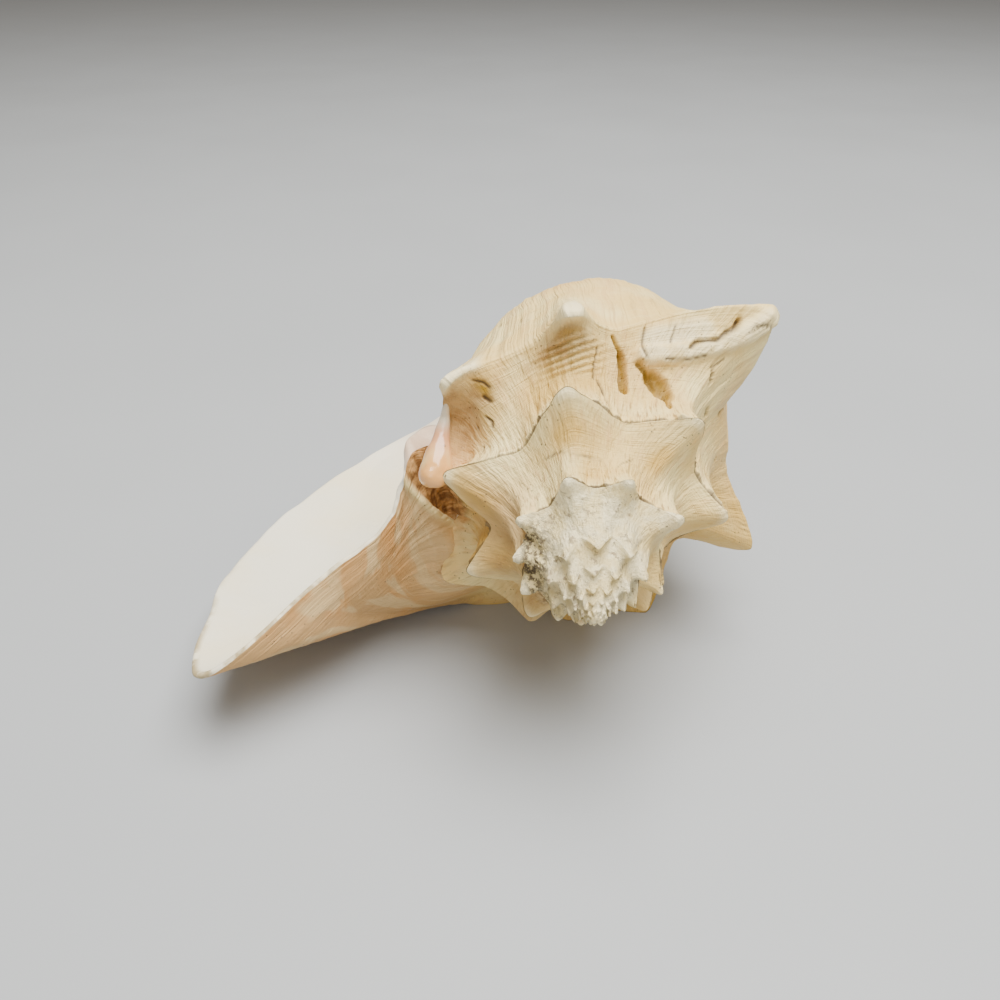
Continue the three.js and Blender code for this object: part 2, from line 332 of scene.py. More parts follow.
@dataclass(frozen=True)
class Form:
    """The shell's main form. Row 0 is the suture, 1 the keel and 2 the front end."""

    spiral: Spiral = Spiral()
    taper_length: float = 131.0
    taper_power: float = 2.2
    taper_fall: float = 1.6
    flank_swell: float = 0.57
    spine_fade: float = 0.38
    column_radius: float = 9.5
    back_bulge: Triple = (-0.66, 0.1, 0.05)
    mouth_slim: Triple = (-0.9, 0.09, -0.06)
    suture_depth: float = 1.6
    ramp_hollow: float = 0.07
    lip_start: float = -0.2
    mouth_turn: float = 1 / 36
    cavity_turn: float = -16 / 36
    lip_turns: tuple[float, float] = (-0.125, -0.05)
    lip_rows: tuple[float, ...] = (0, 0.06, 0.14, 0.3, 0.5, 0.75, 1, 1.12, 1.35, 1.6, 1.82, 2)
    lip_root: tuple[Triple, ...] = (
        (-26, 57, -26), (-30, 63, -27), (-36, 59, -30), (-40, 58, -38), (-43, 60, -46), (-45, 66, -53),
        (-47, 73, -58), (-48, 88, -61), (-46, 112, -61), (-36, 156, -56), (-20, 194, -40),
        (-2, 222, -22),
    )
    lip_middle: tuple[Triple, ...] = (
        (-34, 60, -11), (-37, 66, -13), (-40, 57, -11), (-47, 53, -17), (-54, 48, -25), (-64, 43, -34),
        (-74, 40, -42), (-79, 58, -50), (-77, 104, -59), (-60, 160, -63), (-33, 200, -49),
        (-2, 222, -22),
    )
    lip_edge: tuple[Triple, ...] = (
        (-37, 61, 7), (-41.5, 70, 6), (-46.5, 61, 9), (-50, 56, -1), (-53, 51, -7), (-69, 41, -17),
        (-106, 20, -37), (-110.5, 57, -42), (-103, 112, -53), (-77, 172, -60), (-46, 198, -57),
        (-2, 222, -22),
    )
    wall: float = 3.6
    lip_wall: float = 1.6
    lip_thinning: float = 0.14
    ground: float = -61.5
    least_floor: float = 1.6
    apex_height: float = 1.6
    nudges: tuple[Nudge, ...] = NUDGES

    def whorl(self, turn: Array, row: Array, with_spines: bool) -> Array:
        """Return points of the coiled outside, before the lip.

        Args:
            turn: Turns along the spiral.
            row: Rows from the suture to the front end.
            with_spines: Whether the spines stand on the keel.

        Returns:
            Points in millimetres.
        """
        spiral = self.spiral
        above = spiral.keel(turn - 1, with_spines)
        below = spiral.keel(turn, with_spines)
        t = np.clip(row, 0, 1)
        run = below.radius - above.radius
        drop = below.depth - above.depth
        hollow = -self.ramp_hollow * np.sin(math.pi * t)
        scale = spiral.size(turn) / spiral.spine_radius
        groove = scale * self.suture_depth * smooth(t / 0.05) * np.exp(-5 * t)
        start, end = (1 - t) ** 2.2, t**2
        radius = above.radius + run * t + above.out * start + below.out * end + hollow * drop
        depth = above.depth + drop * t + above.down * start + below.down * end - hollow * run + groove
        far_radius, far_depth = self.flank(turn, row - 1, below)
        on_flank = row > 1
        radius = np.where(on_flank, far_radius, radius)
        return spiral.place(radius, np.where(on_flank, far_depth, depth), turn)

    def flank(self, turn: Array, share: Array, keel: KeelLine) -> tuple[Array, Array]:
        """Return radius and depth below the keel.

        Args:
            turn: Turns along the spiral.
            share: 0 at the keel to 1 at the front end.
            keel: The keel at those turns.

        Returns:
            Radius and depth in millimetres.
        """
        spiral = self.spiral
        share = np.clip(share, 0, 1)
        depth = keel.depth + (spiral.length - keel.depth) * share
        scale = spiral.size(turn) / spiral.spine_radius
        taper = np.clip((depth - keel.depth) / (self.taper_length * scale), 0, 1)
        swells = (self.back_bulge, self.mouth_slim)
        swell = sum(height * bell(turn, centre, width) for centre, width, height in swells)
        swell = swell * np.sin(math.pi * np.clip(taper / 0.7, 0, 1))
        narrowing = (1 - taper**self.taper_power) ** self.taper_fall
        profile = (1 + self.flank_swell * taper) * narrowing * (1 + swell)
        column = self.column_radius * np.sqrt(1 - np.clip(depth / spiral.length, 0, 1) ** 5)
        fade = np.clip(1 - taper / self.spine_fade, 0, 1) ** 2.4
        return column + (keel.radius - column) * profile + keel.out * fade, depth + keel.down * fade

    def lip(self, turn: Array, row: Array) -> Array:
        """Return points of the flared lip, which leaves the whorl along the whorl's own direction.

        Args:
            turn: Turns along the spiral.
            row: Rows from the suture to the front end.

        Returns:
            Points in millimetres.
        """
        nudge = 0.01
        first = self.lip_start - 0.1
        root = self.whorl(np.full_like(turn, self.lip_start), row, False)
        before = self.whorl(np.full_like(turn, self.lip_start - nudge), row, False)
        lead = root + (before - root) * (self.lip_start - first) / nudge
        sections = [
            curve_through(self.lip_rows, [np.array(point, float) for point in section], row)
            for section in (self.lip_root, self.lip_middle, self.lip_edge)
        ]
        knots = [first, self.lip_start, *self.lip_turns, self.mouth_turn]
        return curve_through(knots, [lead, root, *sections], turn)

    def outside(self, turn: Array, row: Array, with_spines: bool = True) -> Array:
        """Return points of the outside.

        Args:
            turn: Turns along the spiral.
            row: Rows from the suture to the front end.
            with_spines: Whether the spines stand on the keel.

        Returns:
            Points in millimetres.
        """
        turn, row = np.broadcast_arrays(np.asarray(turn, float), np.asarray(row, float))
        points = self.whorl(turn, row, with_spines)
        points = points + sum(nudge.shift(turn, row) for nudge in self.nudges)
        if turn.max() <= self.lip_start:
            return points
        lip = self.lip(turn, row)
        keel = self.spiral.keel(turn - 1, with_spines)
        suture = self.spiral.place(keel.radius + keel.out, keel.depth + keel.down, turn)
        hold = np.clip(1 - row / 0.12, 0, 1)[..., None] ** 2
        lip = lip + (suture - self.lip(turn, np.zeros_like(row))) * hold
        lip = lip + sum(nudge.shift(turn, row) for nudge in self.nudges) * smooth(row / 0.03)[..., None]
        return np.where((turn > self.lip_start)[..., None], lip, points)

    def outward(self, turn: Array, row: Array, with_spines: bool = False) -> Array:
        """Return unit vectors that point out of the surface.

        Args:
            turn: Turns along the spiral.
            row: Rows from the suture to the front end.
            with_spines: Whether the spines stand on the keel.

        Returns:
            Unit vectors.
        """
        turn, row = np.broadcast_arrays(np.asarray(turn, float), np.asarray(row, float))
        nudge = 0.001
        later = np.minimum(turn + nudge, self.mouth_turn)
        safe = np.clip(row, 2 * nudge, 2 - 15 * nudge)
        along = self.outside(later, row, with_spines) - self.outside(turn - nudge, row, with_spines)
        across = self.outside(turn, safe + nudge, with_spines) - self.outside(turn, safe - nudge, with_spines)
        normal = np.cross(along, across)
        return normal / (np.linalg.norm(normal, axis=-1, keepdims=True) + 1e-12)

    def inside(self, turn: Array, row: Array) -> Array:
        """Return points of the inner face of the wall, before its ends are joined to the whorl within.

        Args:
            turn: Turns along the spiral.
            row: Rows from the suture to the front end.

        Returns:
            Points in millimetres.
        """
        from_edge = smooth((self.mouth_turn - turn) / self.lip_thinning)
        wall = self.lip_wall + (self.wall - self.lip_wall) * from_edge
        wall = np.broadcast_to(wall, np.shape(row))[..., None]
        return self.outside(turn, row, False) - self.outward(turn, row) * wall


class Patch(NamedTuple):
    """A grid of points with the turn and row of each, columns first."""

    points: Array
    turn: Array
    row: Array


@dataclass(frozen=True)
class Mark:
    """A line on the shell, such as a crack: its path as (turn, row) points, and its size in millimetres."""

    path: tuple[tuple[float, float], ...]
    width: float
    depth: float
    ragged: float = 0.3

    def distance(self, form: Form, points: Array, noise: Noise) -> Array:
        """Measure how far points are from the line, with a ragged edge.

        Args:
            form: The form that the line lies on.
            points: Places, shape (..., 3), in millimetres.
            noise: What makes the edge ragged.

        Returns:
            Distances in millimetres, or FAR_AWAY well away from the line.
        """
        corners = form.outside([turn for turn, _ in self.path], [row for _, row in self.path])
        margin = 3 * self.width + 3
        above = points > corners.min(axis=0) - margin
        below = points < corners.max(axis=0) + margin
        inside = np.all(above & below, axis=-1)
        near = points[inside]
        best = np.full(len(near), FAR_AWAY)
        for start, end in zip(corners[:-1], corners[1:]):
            run = end - start
            share = np.clip((near - start) @ run / (run @ run + 1e-9), 0, 1)
            best = np.minimum(best, np.linalg.norm(near - start - share[..., None] * run, axis=-1))
        result = np.full(points.shape[:-1], FAR_AWAY)
        result[inside] = best + self.ragged * self.width * noise.layered(near, 1.8)
        return result


@dataclass(frozen=True)
class Stain:
    """A soft patch on the shell: its middle and half widths in turn and row, and its strength."""

    turn: float
    row: float
    turn_width: float
    row_width: float
    strength: float = 1.0

    def cover(self, turn: Array, row: Array) -> Array:
        """Return the stain's strength over a grid."""
        return self.strength * bell(turn, self.turn, self.turn_width) * bell(row, self.row, self.row_width)


SLOTS = (
    Mark(((-0.7225, 0.93), (-0.7135, 0.775)), 0.55, 1.0, 0.5),
    Mark(((-0.7115, 0.74), (-0.7075, 0.65), (-0.7, 0.40)), 1.0, 2.8, 0.4),
    Mark(((-0.691, 0.642), (-0.679, 0.55), (-0.668, 0.46)), 0.7, 1.2, 0.5),
    Mark(((-0.653, 0.36), (-0.6475, 0.235)), 0.6, 0.8, 0.5),
)
WEDGE = Mark(((-0.671, 0.50), (-0.662, 0.44), (-0.655, 0.37)), 2.1, 2.8, 0.3)
CRACKS = (
    Mark(((-0.6565, 0.75), (-0.655, 0.792), (-0.6475, 0.8), (-0.643, 0.808), (-0.6415, 0.85),
          (-0.6385, 0.875), (-0.6395, 0.917)), 0.62, 1.9),
    Mark(((-0.686, 0.69), (-0.6925, 0.767), (-0.6945, 0.85), (-0.6955, 0.95)), 0.42, 0.5),
    Mark(((-0.6725, 0.80), (-0.6745, 0.92)), 0.3, 0.25),
    Mark(((-0.739, 0.77), (-0.742, 0.6), (-0.742, 0.44)), 0.3, 0.5),
    Mark(((-0.7375, 0.425), (-0.7315, 0.325), (-0.727, 0.183), (-0.72, 0.08)), 0.36, 0.5),
    Mark(((-0.6295, 0.65), (-0.622, 0.6), (-0.619, 0.585)), 0.45, 0.7, 0.6),
    Mark(((-0.627, 0.72), (-0.6285, 0.66)), 0.28, 0.3),
    Mark(((-0.592, 0.583), (-0.5845, 0.583)), 0.6, 0.7, 0.6),
    Mark(((-0.562, 0.983), (-0.5575, 0.908)), 0.5, 0.6, 0.6),
    Mark(((-0.505, 0.783), (-0.5005, 0.767)), 0.5, 0.5, 0.6),
    Mark(((-0.631, 0.9), (-0.6265, 0.933), (-0.622, 0.96)), 0.4, 0.6),
    Mark(((-0.669, 0.66), (-0.655, 0.655), (-0.642, 0.70)), 0.35, 0.4, 0.6),
    Mark(((-0.862, 0.90), (-0.856, 0.85), (-0.8545, 0.792)), 0.38, 0.5, 0.6),
    Mark(((-0.8635, 0.74), (-0.8625, 0.69)), 0.6, 0.9, 0.5),
    Mark(((-0.879, 0.60), (-0.876, 0.53), (-0.881, 0.48)), 0.35, 0.4, 0.6),
    Mark(((-0.844, 1.175), (-0.8125, 1.117)), 0.3, 0.3),
    Mark(((-0.90, 0.62), (-0.908, 0.35), (-0.915, 0.12)), 0.3, 0.3),
)
SPIRE_CRACKS = (
    Mark(((-1.8285, 0.65), (-1.797, 0.567), (-1.7745, 0.467), (-1.7295, 0.433)), 0.28, 0.3, 0.8),
    Mark(((-1.70, 0.32), (-1.69, 0.42), (-1.672, 0.50)), 0.22, 0.2, 0.8),
)
PLATE = Mark(((-0.688, 0.85), (-0.672, 0.86), (-0.655, 0.865)), 2.9, -0.5, 0.12)
FOLD = Mark(((-0.688, 0.715), (-0.67, 0.70), (-0.6565, 0.712), (-0.643, 0.765), (-0.634, 0.82),
             (-0.628, 0.88), (-0.624, 0.97)), 2.5, -2.1, 0.16)
OCHRE_STAINS = (
    Stain(-0.859, 0.80, 0.006, 0.09), Stain(-0.8665, 0.62, 0.010, 0.07),
    Stain(-0.88, 0.617, 0.007, 0.08, 0.7), Stain(-0.69, 0.655, 0.006, 0.03, 0.6),
    Stain(-0.766, 0.87, 0.014, 0.05, 0.45), Stain(-0.322, 0.975, 0.012, 0.1, 0.5),
    Stain(-0.665, 0.60, 0.006, 0.04, 0.4),
)
YELLOW_STAINS = (
    Stain(-1.782, 0.72, 0.03, 0.2), Stain(-2.17, 0.7, 0.03, 0.3), Stain(-2.06, 0.6, 0.03, 0.25, 0.8),
    Stain(-1.632, 0.60, 0.022, 0.2), Stain(-1.955, 0.75, 0.03, 0.22, 0.8),
    Stain(-1.0515, 0.1, 0.05, 0.2, 0.8), Stain(-1.49, 0.75, 0.04, 0.25, 0.9),
    Stain(-1.20, 0.6, 0.05, 0.3, 0.9), Stain(-1.75, 0.2, 0.05, 0.15, 0.5),
    Stain(-0.75, 0.35, 0.05, 0.25, 0.55), Stain(-0.82, 0.45, 0.04, 0.3, 0.5),
    Stain(-0.43, 0.7, 0.06, 0.4, 0.8), Stain(-0.31, 0.8, 0.05, 0.3, 0.8),
    Stain(-0.36, 1.05, 0.08, 0.15, 0.7), Stain(-1.60, 0.95, 0.03, 0.10, 0.5),
)
# Brown stains. The first, on the face of the spine near turn -0.89, is partly real brown and partly painted
# shade; the second, under the spine at turn -0.763, is painted shade.
BROWN_STAINS_AND_SHADE = (
    Stain(-0.893, 0.78, 0.036, 0.22, 1.6), Stain(-0.772, 0.81, 0.026, 0.11, 1.5),
    Stain(-2.18, 0.8, 0.03, 0.3, 0.6), Stain(-1.203, 0.9, 0.05, 0.4, 0.7),
    Stain(-2.25, 0.8, 0.03, 0.3, 0.6), Stain(-1.02, 0.9, 0.06, 0.16, 0.8),
    Stain(-0.915, 0.85, 0.02, 0.12, 0.8), Stain(-1.96, 0.45, 0.10, 0.4, 0.5),
    Stain(-2.1, 0.5, 0.10, 0.6, 0.6), Stain(-1.36, 0.75, 0.06, 0.3, 0.5),
    Stain(-0.25, 0.8, 0.05, 0.4, 0.4),
)
CRUST = (
    Stain(-2.95, 0.6, 0.085, 0.55, 1.0), Stain(-2.16, 0.30, 0.06, 0.32, 0.9),
    Stain(-3.06, 0.9, 0.10, 0.4, 0.9),
)
BITE = Stain(-0.888, 0.76, 0.030, 0.14)
NUB = Stain(-0.762, 1.0, 0.0085, 0.05)


@dataclass(frozen=True)
class Relief:
    """What wear and growth add to the form, and where the finishes change."""

    form: Form
    coarse_lines: float = 5.0
    fine_lines: float = 12.0
    line_height: float = 0.24
    fine_height: float = 0.13
    lump_height: float = 0.4
    wear_start: float = -2.36
    wear_height: float = 0.7
    lip_skew: float = 0.16
    ripple_across: Triple = (0.32, -0.54, -0.78)
    ripple_spacing: float = 1.75
    slot_shade: float = 0.42
    seam_width: tuple[float, float] = (0.55, 0.75)
    bite_depth: float = 2.6
    nub_height: float = 2.0
    rim_height: float = 0.9
    ripple_height: float = 0.5
    dirt_height: float = 0.8
    edge_height: float = 1.1
    crest_start: float = -0.112
    crest_turns: tuple[float, ...] = (
        -0.2, -0.108, -0.086, -0.064, -0.0505, -0.0325, -0.016, 0.0005, 0.0278,
    )
    crest_rows: tuple[float, ...] = (-0.02, 0.0, 0.058, 0.092, 0.117, 0.15, 0.175, 0.2, 0.232)
    coarse: Noise = Noise(11)
    fine: Noise = Noise(23)

    def soft(self, stains: Sequence[Stain], turn: Array, row: Array, rough: Array) -> Array:
        """Add up soft stains, with blotchy edges.

        Args:
            stains: The stains.
            turn: The grid's turns.
            row: The grid's rows.
            rough: What makes the edges blotchy, from -1 to 1.

        Returns:
            Values from 0 to 1.
        """
        total = sum(stain.cover(turn, row) for stain in stains)
        return np.clip(total * (1 + 0.7 * rough), 0, 1)

    def crest(self, turn: Array) -> Array:
        """Return the row where the lip's shoulder ends in a free edge, 0 where it meets the suture."""
        return np.interp(turn, self.crest_turns, self.crest_rows)

    def tips(self, turn: Array, row: Array) -> Array:
        """Return 1 at the worn tips of the spines that face up.

        Args:
            turn: The grid's turns.
            row: The grid's rows.

        Returns:
            Values from 0 to 1.
        """
        total = np.zeros_like(turn)
        for spine in self.form.spiral.all_spines():
            if -3.3 < spine.turn < -0.7 and not -1.45 < spine.turn < -0.9:
                width = 0.011 if spine.turn > -2.5 else 0.017
                height = 0.045 if spine.turn > -2.5 else 0.11
                total = np.maximum(total, bell(turn, spine.turn, width) * bell(row, 1, height))
        return total

    def masks(self, patch: Patch) -> dict[str, Array]:
        """Work out where each finish lies.

        Args:
            patch: A grid of the outside.

        Returns:
            Values from 0 to 1 by name, the growth in millimetres, and how deep the marks are cut.
        """
        points, turn, row = patch
        form = self.form
        scale = form.spiral.size(turn) / form.spiral.spine_radius
        rough = self.coarse.layered(points, 9.0)
        step = np.linalg.norm(np.diff(points, axis=1), axis=-1)
        along = np.concatenate([np.zeros_like(step[:, :1]), np.cumsum(step, axis=1)], axis=1)
        wear = smooth((self.wear_start - turn + 0.22 * rough) / 0.35)
        lip = smooth((turn + 0.19 + 0.015 * rough) / 0.06)
        crest = self.crest(turn)
        on_crest = smooth((turn - self.crest_start) / 0.02)
        groove = on_crest * smooth((crest - row) / 0.012)
        ledge = on_crest * bell(row, crest + 0.016, 0.016) * (row > crest - 0.004)
        bay = smooth((turn + 1.085 + 0.02 * rough) / 0.04) * smooth((-0.955 - turn) / 0.03)
        bay = bay * smooth((row - 0.70 + 0.14 * rough) / 0.2) * (row <= 1)
        ribs = smooth((turn + 1.10) / 0.04) * smooth((-0.93 - turn) / 0.03) * (row <= 1)
        glaze = bell(turn, -0.957, 0.024) * smooth((row - 0.45) / 0.2) * smooth((1.7 - row) / 0.2)
        seam = smooth((1.0 - along / (self.seam_width[0] + self.seam_width[1] * scale)) / 0.5)
        dark = seam * (1 - lip) * (1 - 0.85 * wear) * (0.85 + 0.3 * self.fine.at(points, 6.0))
        white = self.tips(turn, row) * (0.8 + 0.4 * self.fine.layered(points, 3.0))
        rim = smooth((turn + 0.895) / 0.01) * smooth((-0.846 - turn) / 0.012) * bell(row, 1.0, 0.04)
        lowered = 0.5 * bell(along, 0.5 * scale, 0.35 * scale) * (1 - lip)
        masks = {
            "wear": wear, "white": np.maximum(white, rim), "lip": lip, "dirt": np.maximum(groove, bay),
            "edge": ledge, "ochre": self.soft(OCHRE_STAINS, turn, row, rough), "dark": dark,
            "yellow": self.soft(YELLOW_STAINS, turn, row, rough),
            "brown": self.soft(BROWN_STAINS_AND_SHADE, turn, row, rough), "crust": self.soft(CRUST, turn, row, rough),
            "glaze": glaze, "plate": np.zeros_like(turn), "groove": groove, "ribs": ribs, "rim": rim,
            "carve": lowered - 0.3 * bell(along, 1.6 * scale, 0.8 * scale),
        }
        if turn.max() > -1:
            self._mark_body(patch, masks)
        else:
            for mark in SPIRE_CRACKS:
                distance = mark.distance(form, points, self.fine)
                line = 0.8 * np.exp(-((distance / mark.width) ** 2))
                masks["dark"] = np.maximum(masks["dark"], line)
        carve = masks.pop("carve")
        masks = {name: np.clip(values, 0, 1) for name, values in masks.items()}
        skew = self.lip_skew * smooth(-turn / 0.09) * smooth((turn + 0.2) / 0.1) * np.clip(row, 0, 0.8)
        return {**masks, "growth": form.spiral.size(turn - skew), "row": row, "carve": carve}

    def _mark_body(self, patch: Patch, masks: dict[str, Array]) -> None:
        """Add the body whorl's slots, cracks, flaked plate and ripples to its masks.

        Args:
            patch: A grid of the outside.
            masks: The masks so far, which are changed.
        """
        points, turn, row = patch
        for mark in (*SLOTS, WEDGE):
            distance = mark.distance(self.form, points, self.fine)
            masks["carve"] = masks["carve"] + mark.depth * smooth(1.5 - distance / mark.width)
            masks["ochre"] = np.maximum(masks["ochre"], smooth(1.55 - distance / mark.width))
            shade = self.slot_shade * smooth(1.1 - distance / mark.width)
            masks["dark"] = np.maximum(masks["dark"], shade)
        for mark in CRACKS:
            distance = mark.distance(self.form, points, self.fine)
            masks["carve"] = masks["carve"] + mark.depth * smooth(1.5 - distance / mark.width)
            line = np.exp(-((distance / (0.95 * mark.width)) ** 2))
            masks["dark"] = np.maximum(masks["dark"], line)
        plate = smooth(1.5 - PLATE.distance(self.form, points, self.fine) / PLATE.width)
        fold = smooth(1.5 - FOLD.distance(self.form, points, self.fine) / FOLD.width)
        masks["plate"] = plate
        masks["carve"] = masks["carve"] + PLATE.depth * plate + FOLD.depth * fold
        masks["white"] = np.maximum(masks["white"], np.maximum(0.65 * plate, 0.6 * fold))
        ripple = self.ripple_area(turn, row) * smooth(0.4 - 0.7 * self.ripple_wave(points))
        masks["ochre"] = np.maximum(masks["ochre"], 0.45 * ripple)

    def ripple_area(self, turn: Array, row: Array) -> Array:
        """Return 1 where the ramp is rippled below its top spine."""
        return bell(turn, -0.768, 0.030) * smooth((row - 0.42) / 0.15) * smooth((0.90 - row) / 0.08)

    def ripple_wave(self, points: Array) -> Array:
        """Return the ripples' wave, 1 on a crest and -1 in a trough."""
        across = points @ np.array(self.ripple_across) / self.ripple_spacing
        return np.sin(FULL_TURN * (across + 0.22 * self.coarse.at(points, 7.0)))

    def height(self, patch: Patch, masks: dict[str, Array]) -> Array:
        """Return how far each point moves out, in millimetres.

        Args:
            patch: A grid of the outside.
            masks: What masks() returned for it.

        Returns:
            Heights in millimetres.
        """
        points, turn, row = patch
        growth = masks["growth"] + 0.10 * self.coarse.at(points, 16.0)
        scale = growth / self.form.spiral.spine_radius
        flat = np.zeros_like(turn)
        slow = np.stack([growth * self.coarse_lines, row * 3.0, flat], axis=-1)
        quick = np.stack([growth * self.fine_lines, row * 4.5, flat + 9], axis=-1)
        cords = np.stack([row * 38, turn * 9, flat + 7], axis=-1)
        folds = np.stack([row * 9, turn * 7, flat + 17], axis=-1)
        lines = self.coarse.at(slow, 1.0) * self.line_height + self.fine.at(quick, 1.0) * self.fine_height
        near_suture = np.exp(-((row / 0.3) ** 2)) * (1 - masks["lip"])
        lines = lines * (1 + 1.6 * near_suture + 2.6 * masks["ribs"])
        lines = lines + self.fine.at(cords, 1.0) * self.fine_height * 0.8
        shoulder = smooth((row - masks["groove"]) / 0.1) * smooth((0.62 - row) / 0.3)
        lines = lines * (1 - masks["lip"] * (0.72 - 1.15 * shoulder)) * (1 - 0.8 * masks["plate"])
        lumps = self.coarse.layered(points, 13.0) * self.lump_height + self.fine.layered(points, 4.5) * 0.12
        lumps = lumps + 0.8 * self.coarse.at(folds, 1.0) * smooth((row - 1.02) / 0.08) * (1 - masks["lip"])
        keep = 1 - 0.6 * masks["wear"]
        total = (lines + lumps) * np.clip(scale + 0.3, 0, 1) * keep - masks["carve"]
        chalk = self.fine.layered(points, 3.0) * 0.4 + np.abs(self.coarse.layered(points, 1.5)) * 0.22
        total = total + chalk * masks["white"] * (1 - 0.8 * masks["plate"])
        crumble = self.fine.layered(points, 5.0) * 0.6 + np.abs(self.coarse.layered(points, 2.3)) * 0.55
        crumble = crumble + self.fine.layered(points, 1.1, 2) * 0.32
        total = total + masks["wear"] * crumble * self.wear_height * np.clip(scale * 2.4, 0.3, 1)
        total = total + masks["crust"] * np.abs(self.fine.layered(points, 1.7)) * 1.2
        total = total + self.tips(turn, row) * np.where(turn < -2.5, 0.9, 0.5) * np.clip(scale * 2.2, 0.2, 1)
        if turn.max() > -1:
            total = total + self.ripple_height * self.ripple_area(turn, row) * self.ripple_wave(points)
            total = total - self.bite_depth * BITE.cover(turn, row) + self.rim_height * masks["rim"]
            total = total + self.nub_height * NUB.cover(turn, row)
        dirt = masks["dirt"] * (0.4 + 0.6 * np.abs(self.fine.layered(points, 2.2)))
        sunk = masks["groove"] * (0.9 + 2.1 * smooth((-0.01 - turn) / 0.05))
        total = total + self.dirt_height * dirt - sunk + self.edge_height * masks["edge"]
        return total * smooth((2 - row) / 0.12)


@dataclass(frozen=True)
class Place:
    """How the shell's own millimetres sit in the model's metres."""

    shift: Triple
    low: Triple
    high: Triple

    def to_metres(self, points: Array) -> Array:
        """Move points into the model's frame and keep them inside the solid's box."""
        return np.clip((points + np.array(self.shift)) * MM, self.low, self.high)


def mesh_object(name: str, points: Array, faces: Array, masks: dict[str, Array]) -> bpy.types.Object:
    """Make a smooth mesh object.

    Args:
        name: The piece's name.
        points: Vertices in metres, shape (n, 3).
        faces: Corner indices, shape (m, 4) or (m, 3).
        masks: Values for each vertex, kept as mesh attributes.

    Returns:
        The new object, linked to the scene.
    """
    mesh = bpy.data.meshes.new(name)
    mesh.vertices.add(len(points))
    mesh.vertices.foreach_set("co", np.ascontiguousarray(points, np.float32).reshape(-1))
    mesh.loops.add(faces.size)
    mesh.loops.foreach_set("vertex_index", np.ascontiguousarray(faces, np.int32).reshape(-1))
    mesh.polygons.add(len(faces))
    mesh.polygons.foreach_set("loop_start", np.arange(0, faces.size, faces.shape[1], dtype=np.int32))
    mesh.polygons.foreach_set("use_smooth", np.ones(len(faces), bool))
    mesh.update(calc_edges=True)
    mesh.validate()
    for label in sorted(set(masks) & KEPT_MASKS):
        values = masks[label]
        layer = mesh.attributes.new(label, "FLOAT", "POINT")
        layer.data.foreach_set("value", np.ascontiguousarray(values, np.float32).reshape(-1))
    piece = bpy.data.objects.new(name, mesh)
    bpy.context.scene.collection.objects.link(piece)
    return piece


def grid_object(
    name: str, patch: Patch, place: Place, masks: dict[str, Array], flip: bool = False
) -> bpy.types.Object:
    """Make a smooth mesh object from a grid of points.

    Args:
        name: The piece's name.
        patch: The grid.
        place: How the shell sits in the model.
        masks: Values for each point.
        flip: Whether the faces turn the other way.

    Returns:
        The new object, linked to the scene.
    """
    columns, rows = patch.turn.shape
    index = np.arange(columns * rows).reshape(columns, rows)
    corners = [index[1:, :-1], index[1:, 1:], index[:-1, 1:], index[:-1, :-1]]
    faces = np.stack(corners[::-1] if flip else corners, axis=-1).reshape(-1, 4)
    return mesh_object(name, place.to_metres(patch.points).reshape(-1, 3), faces, masks)


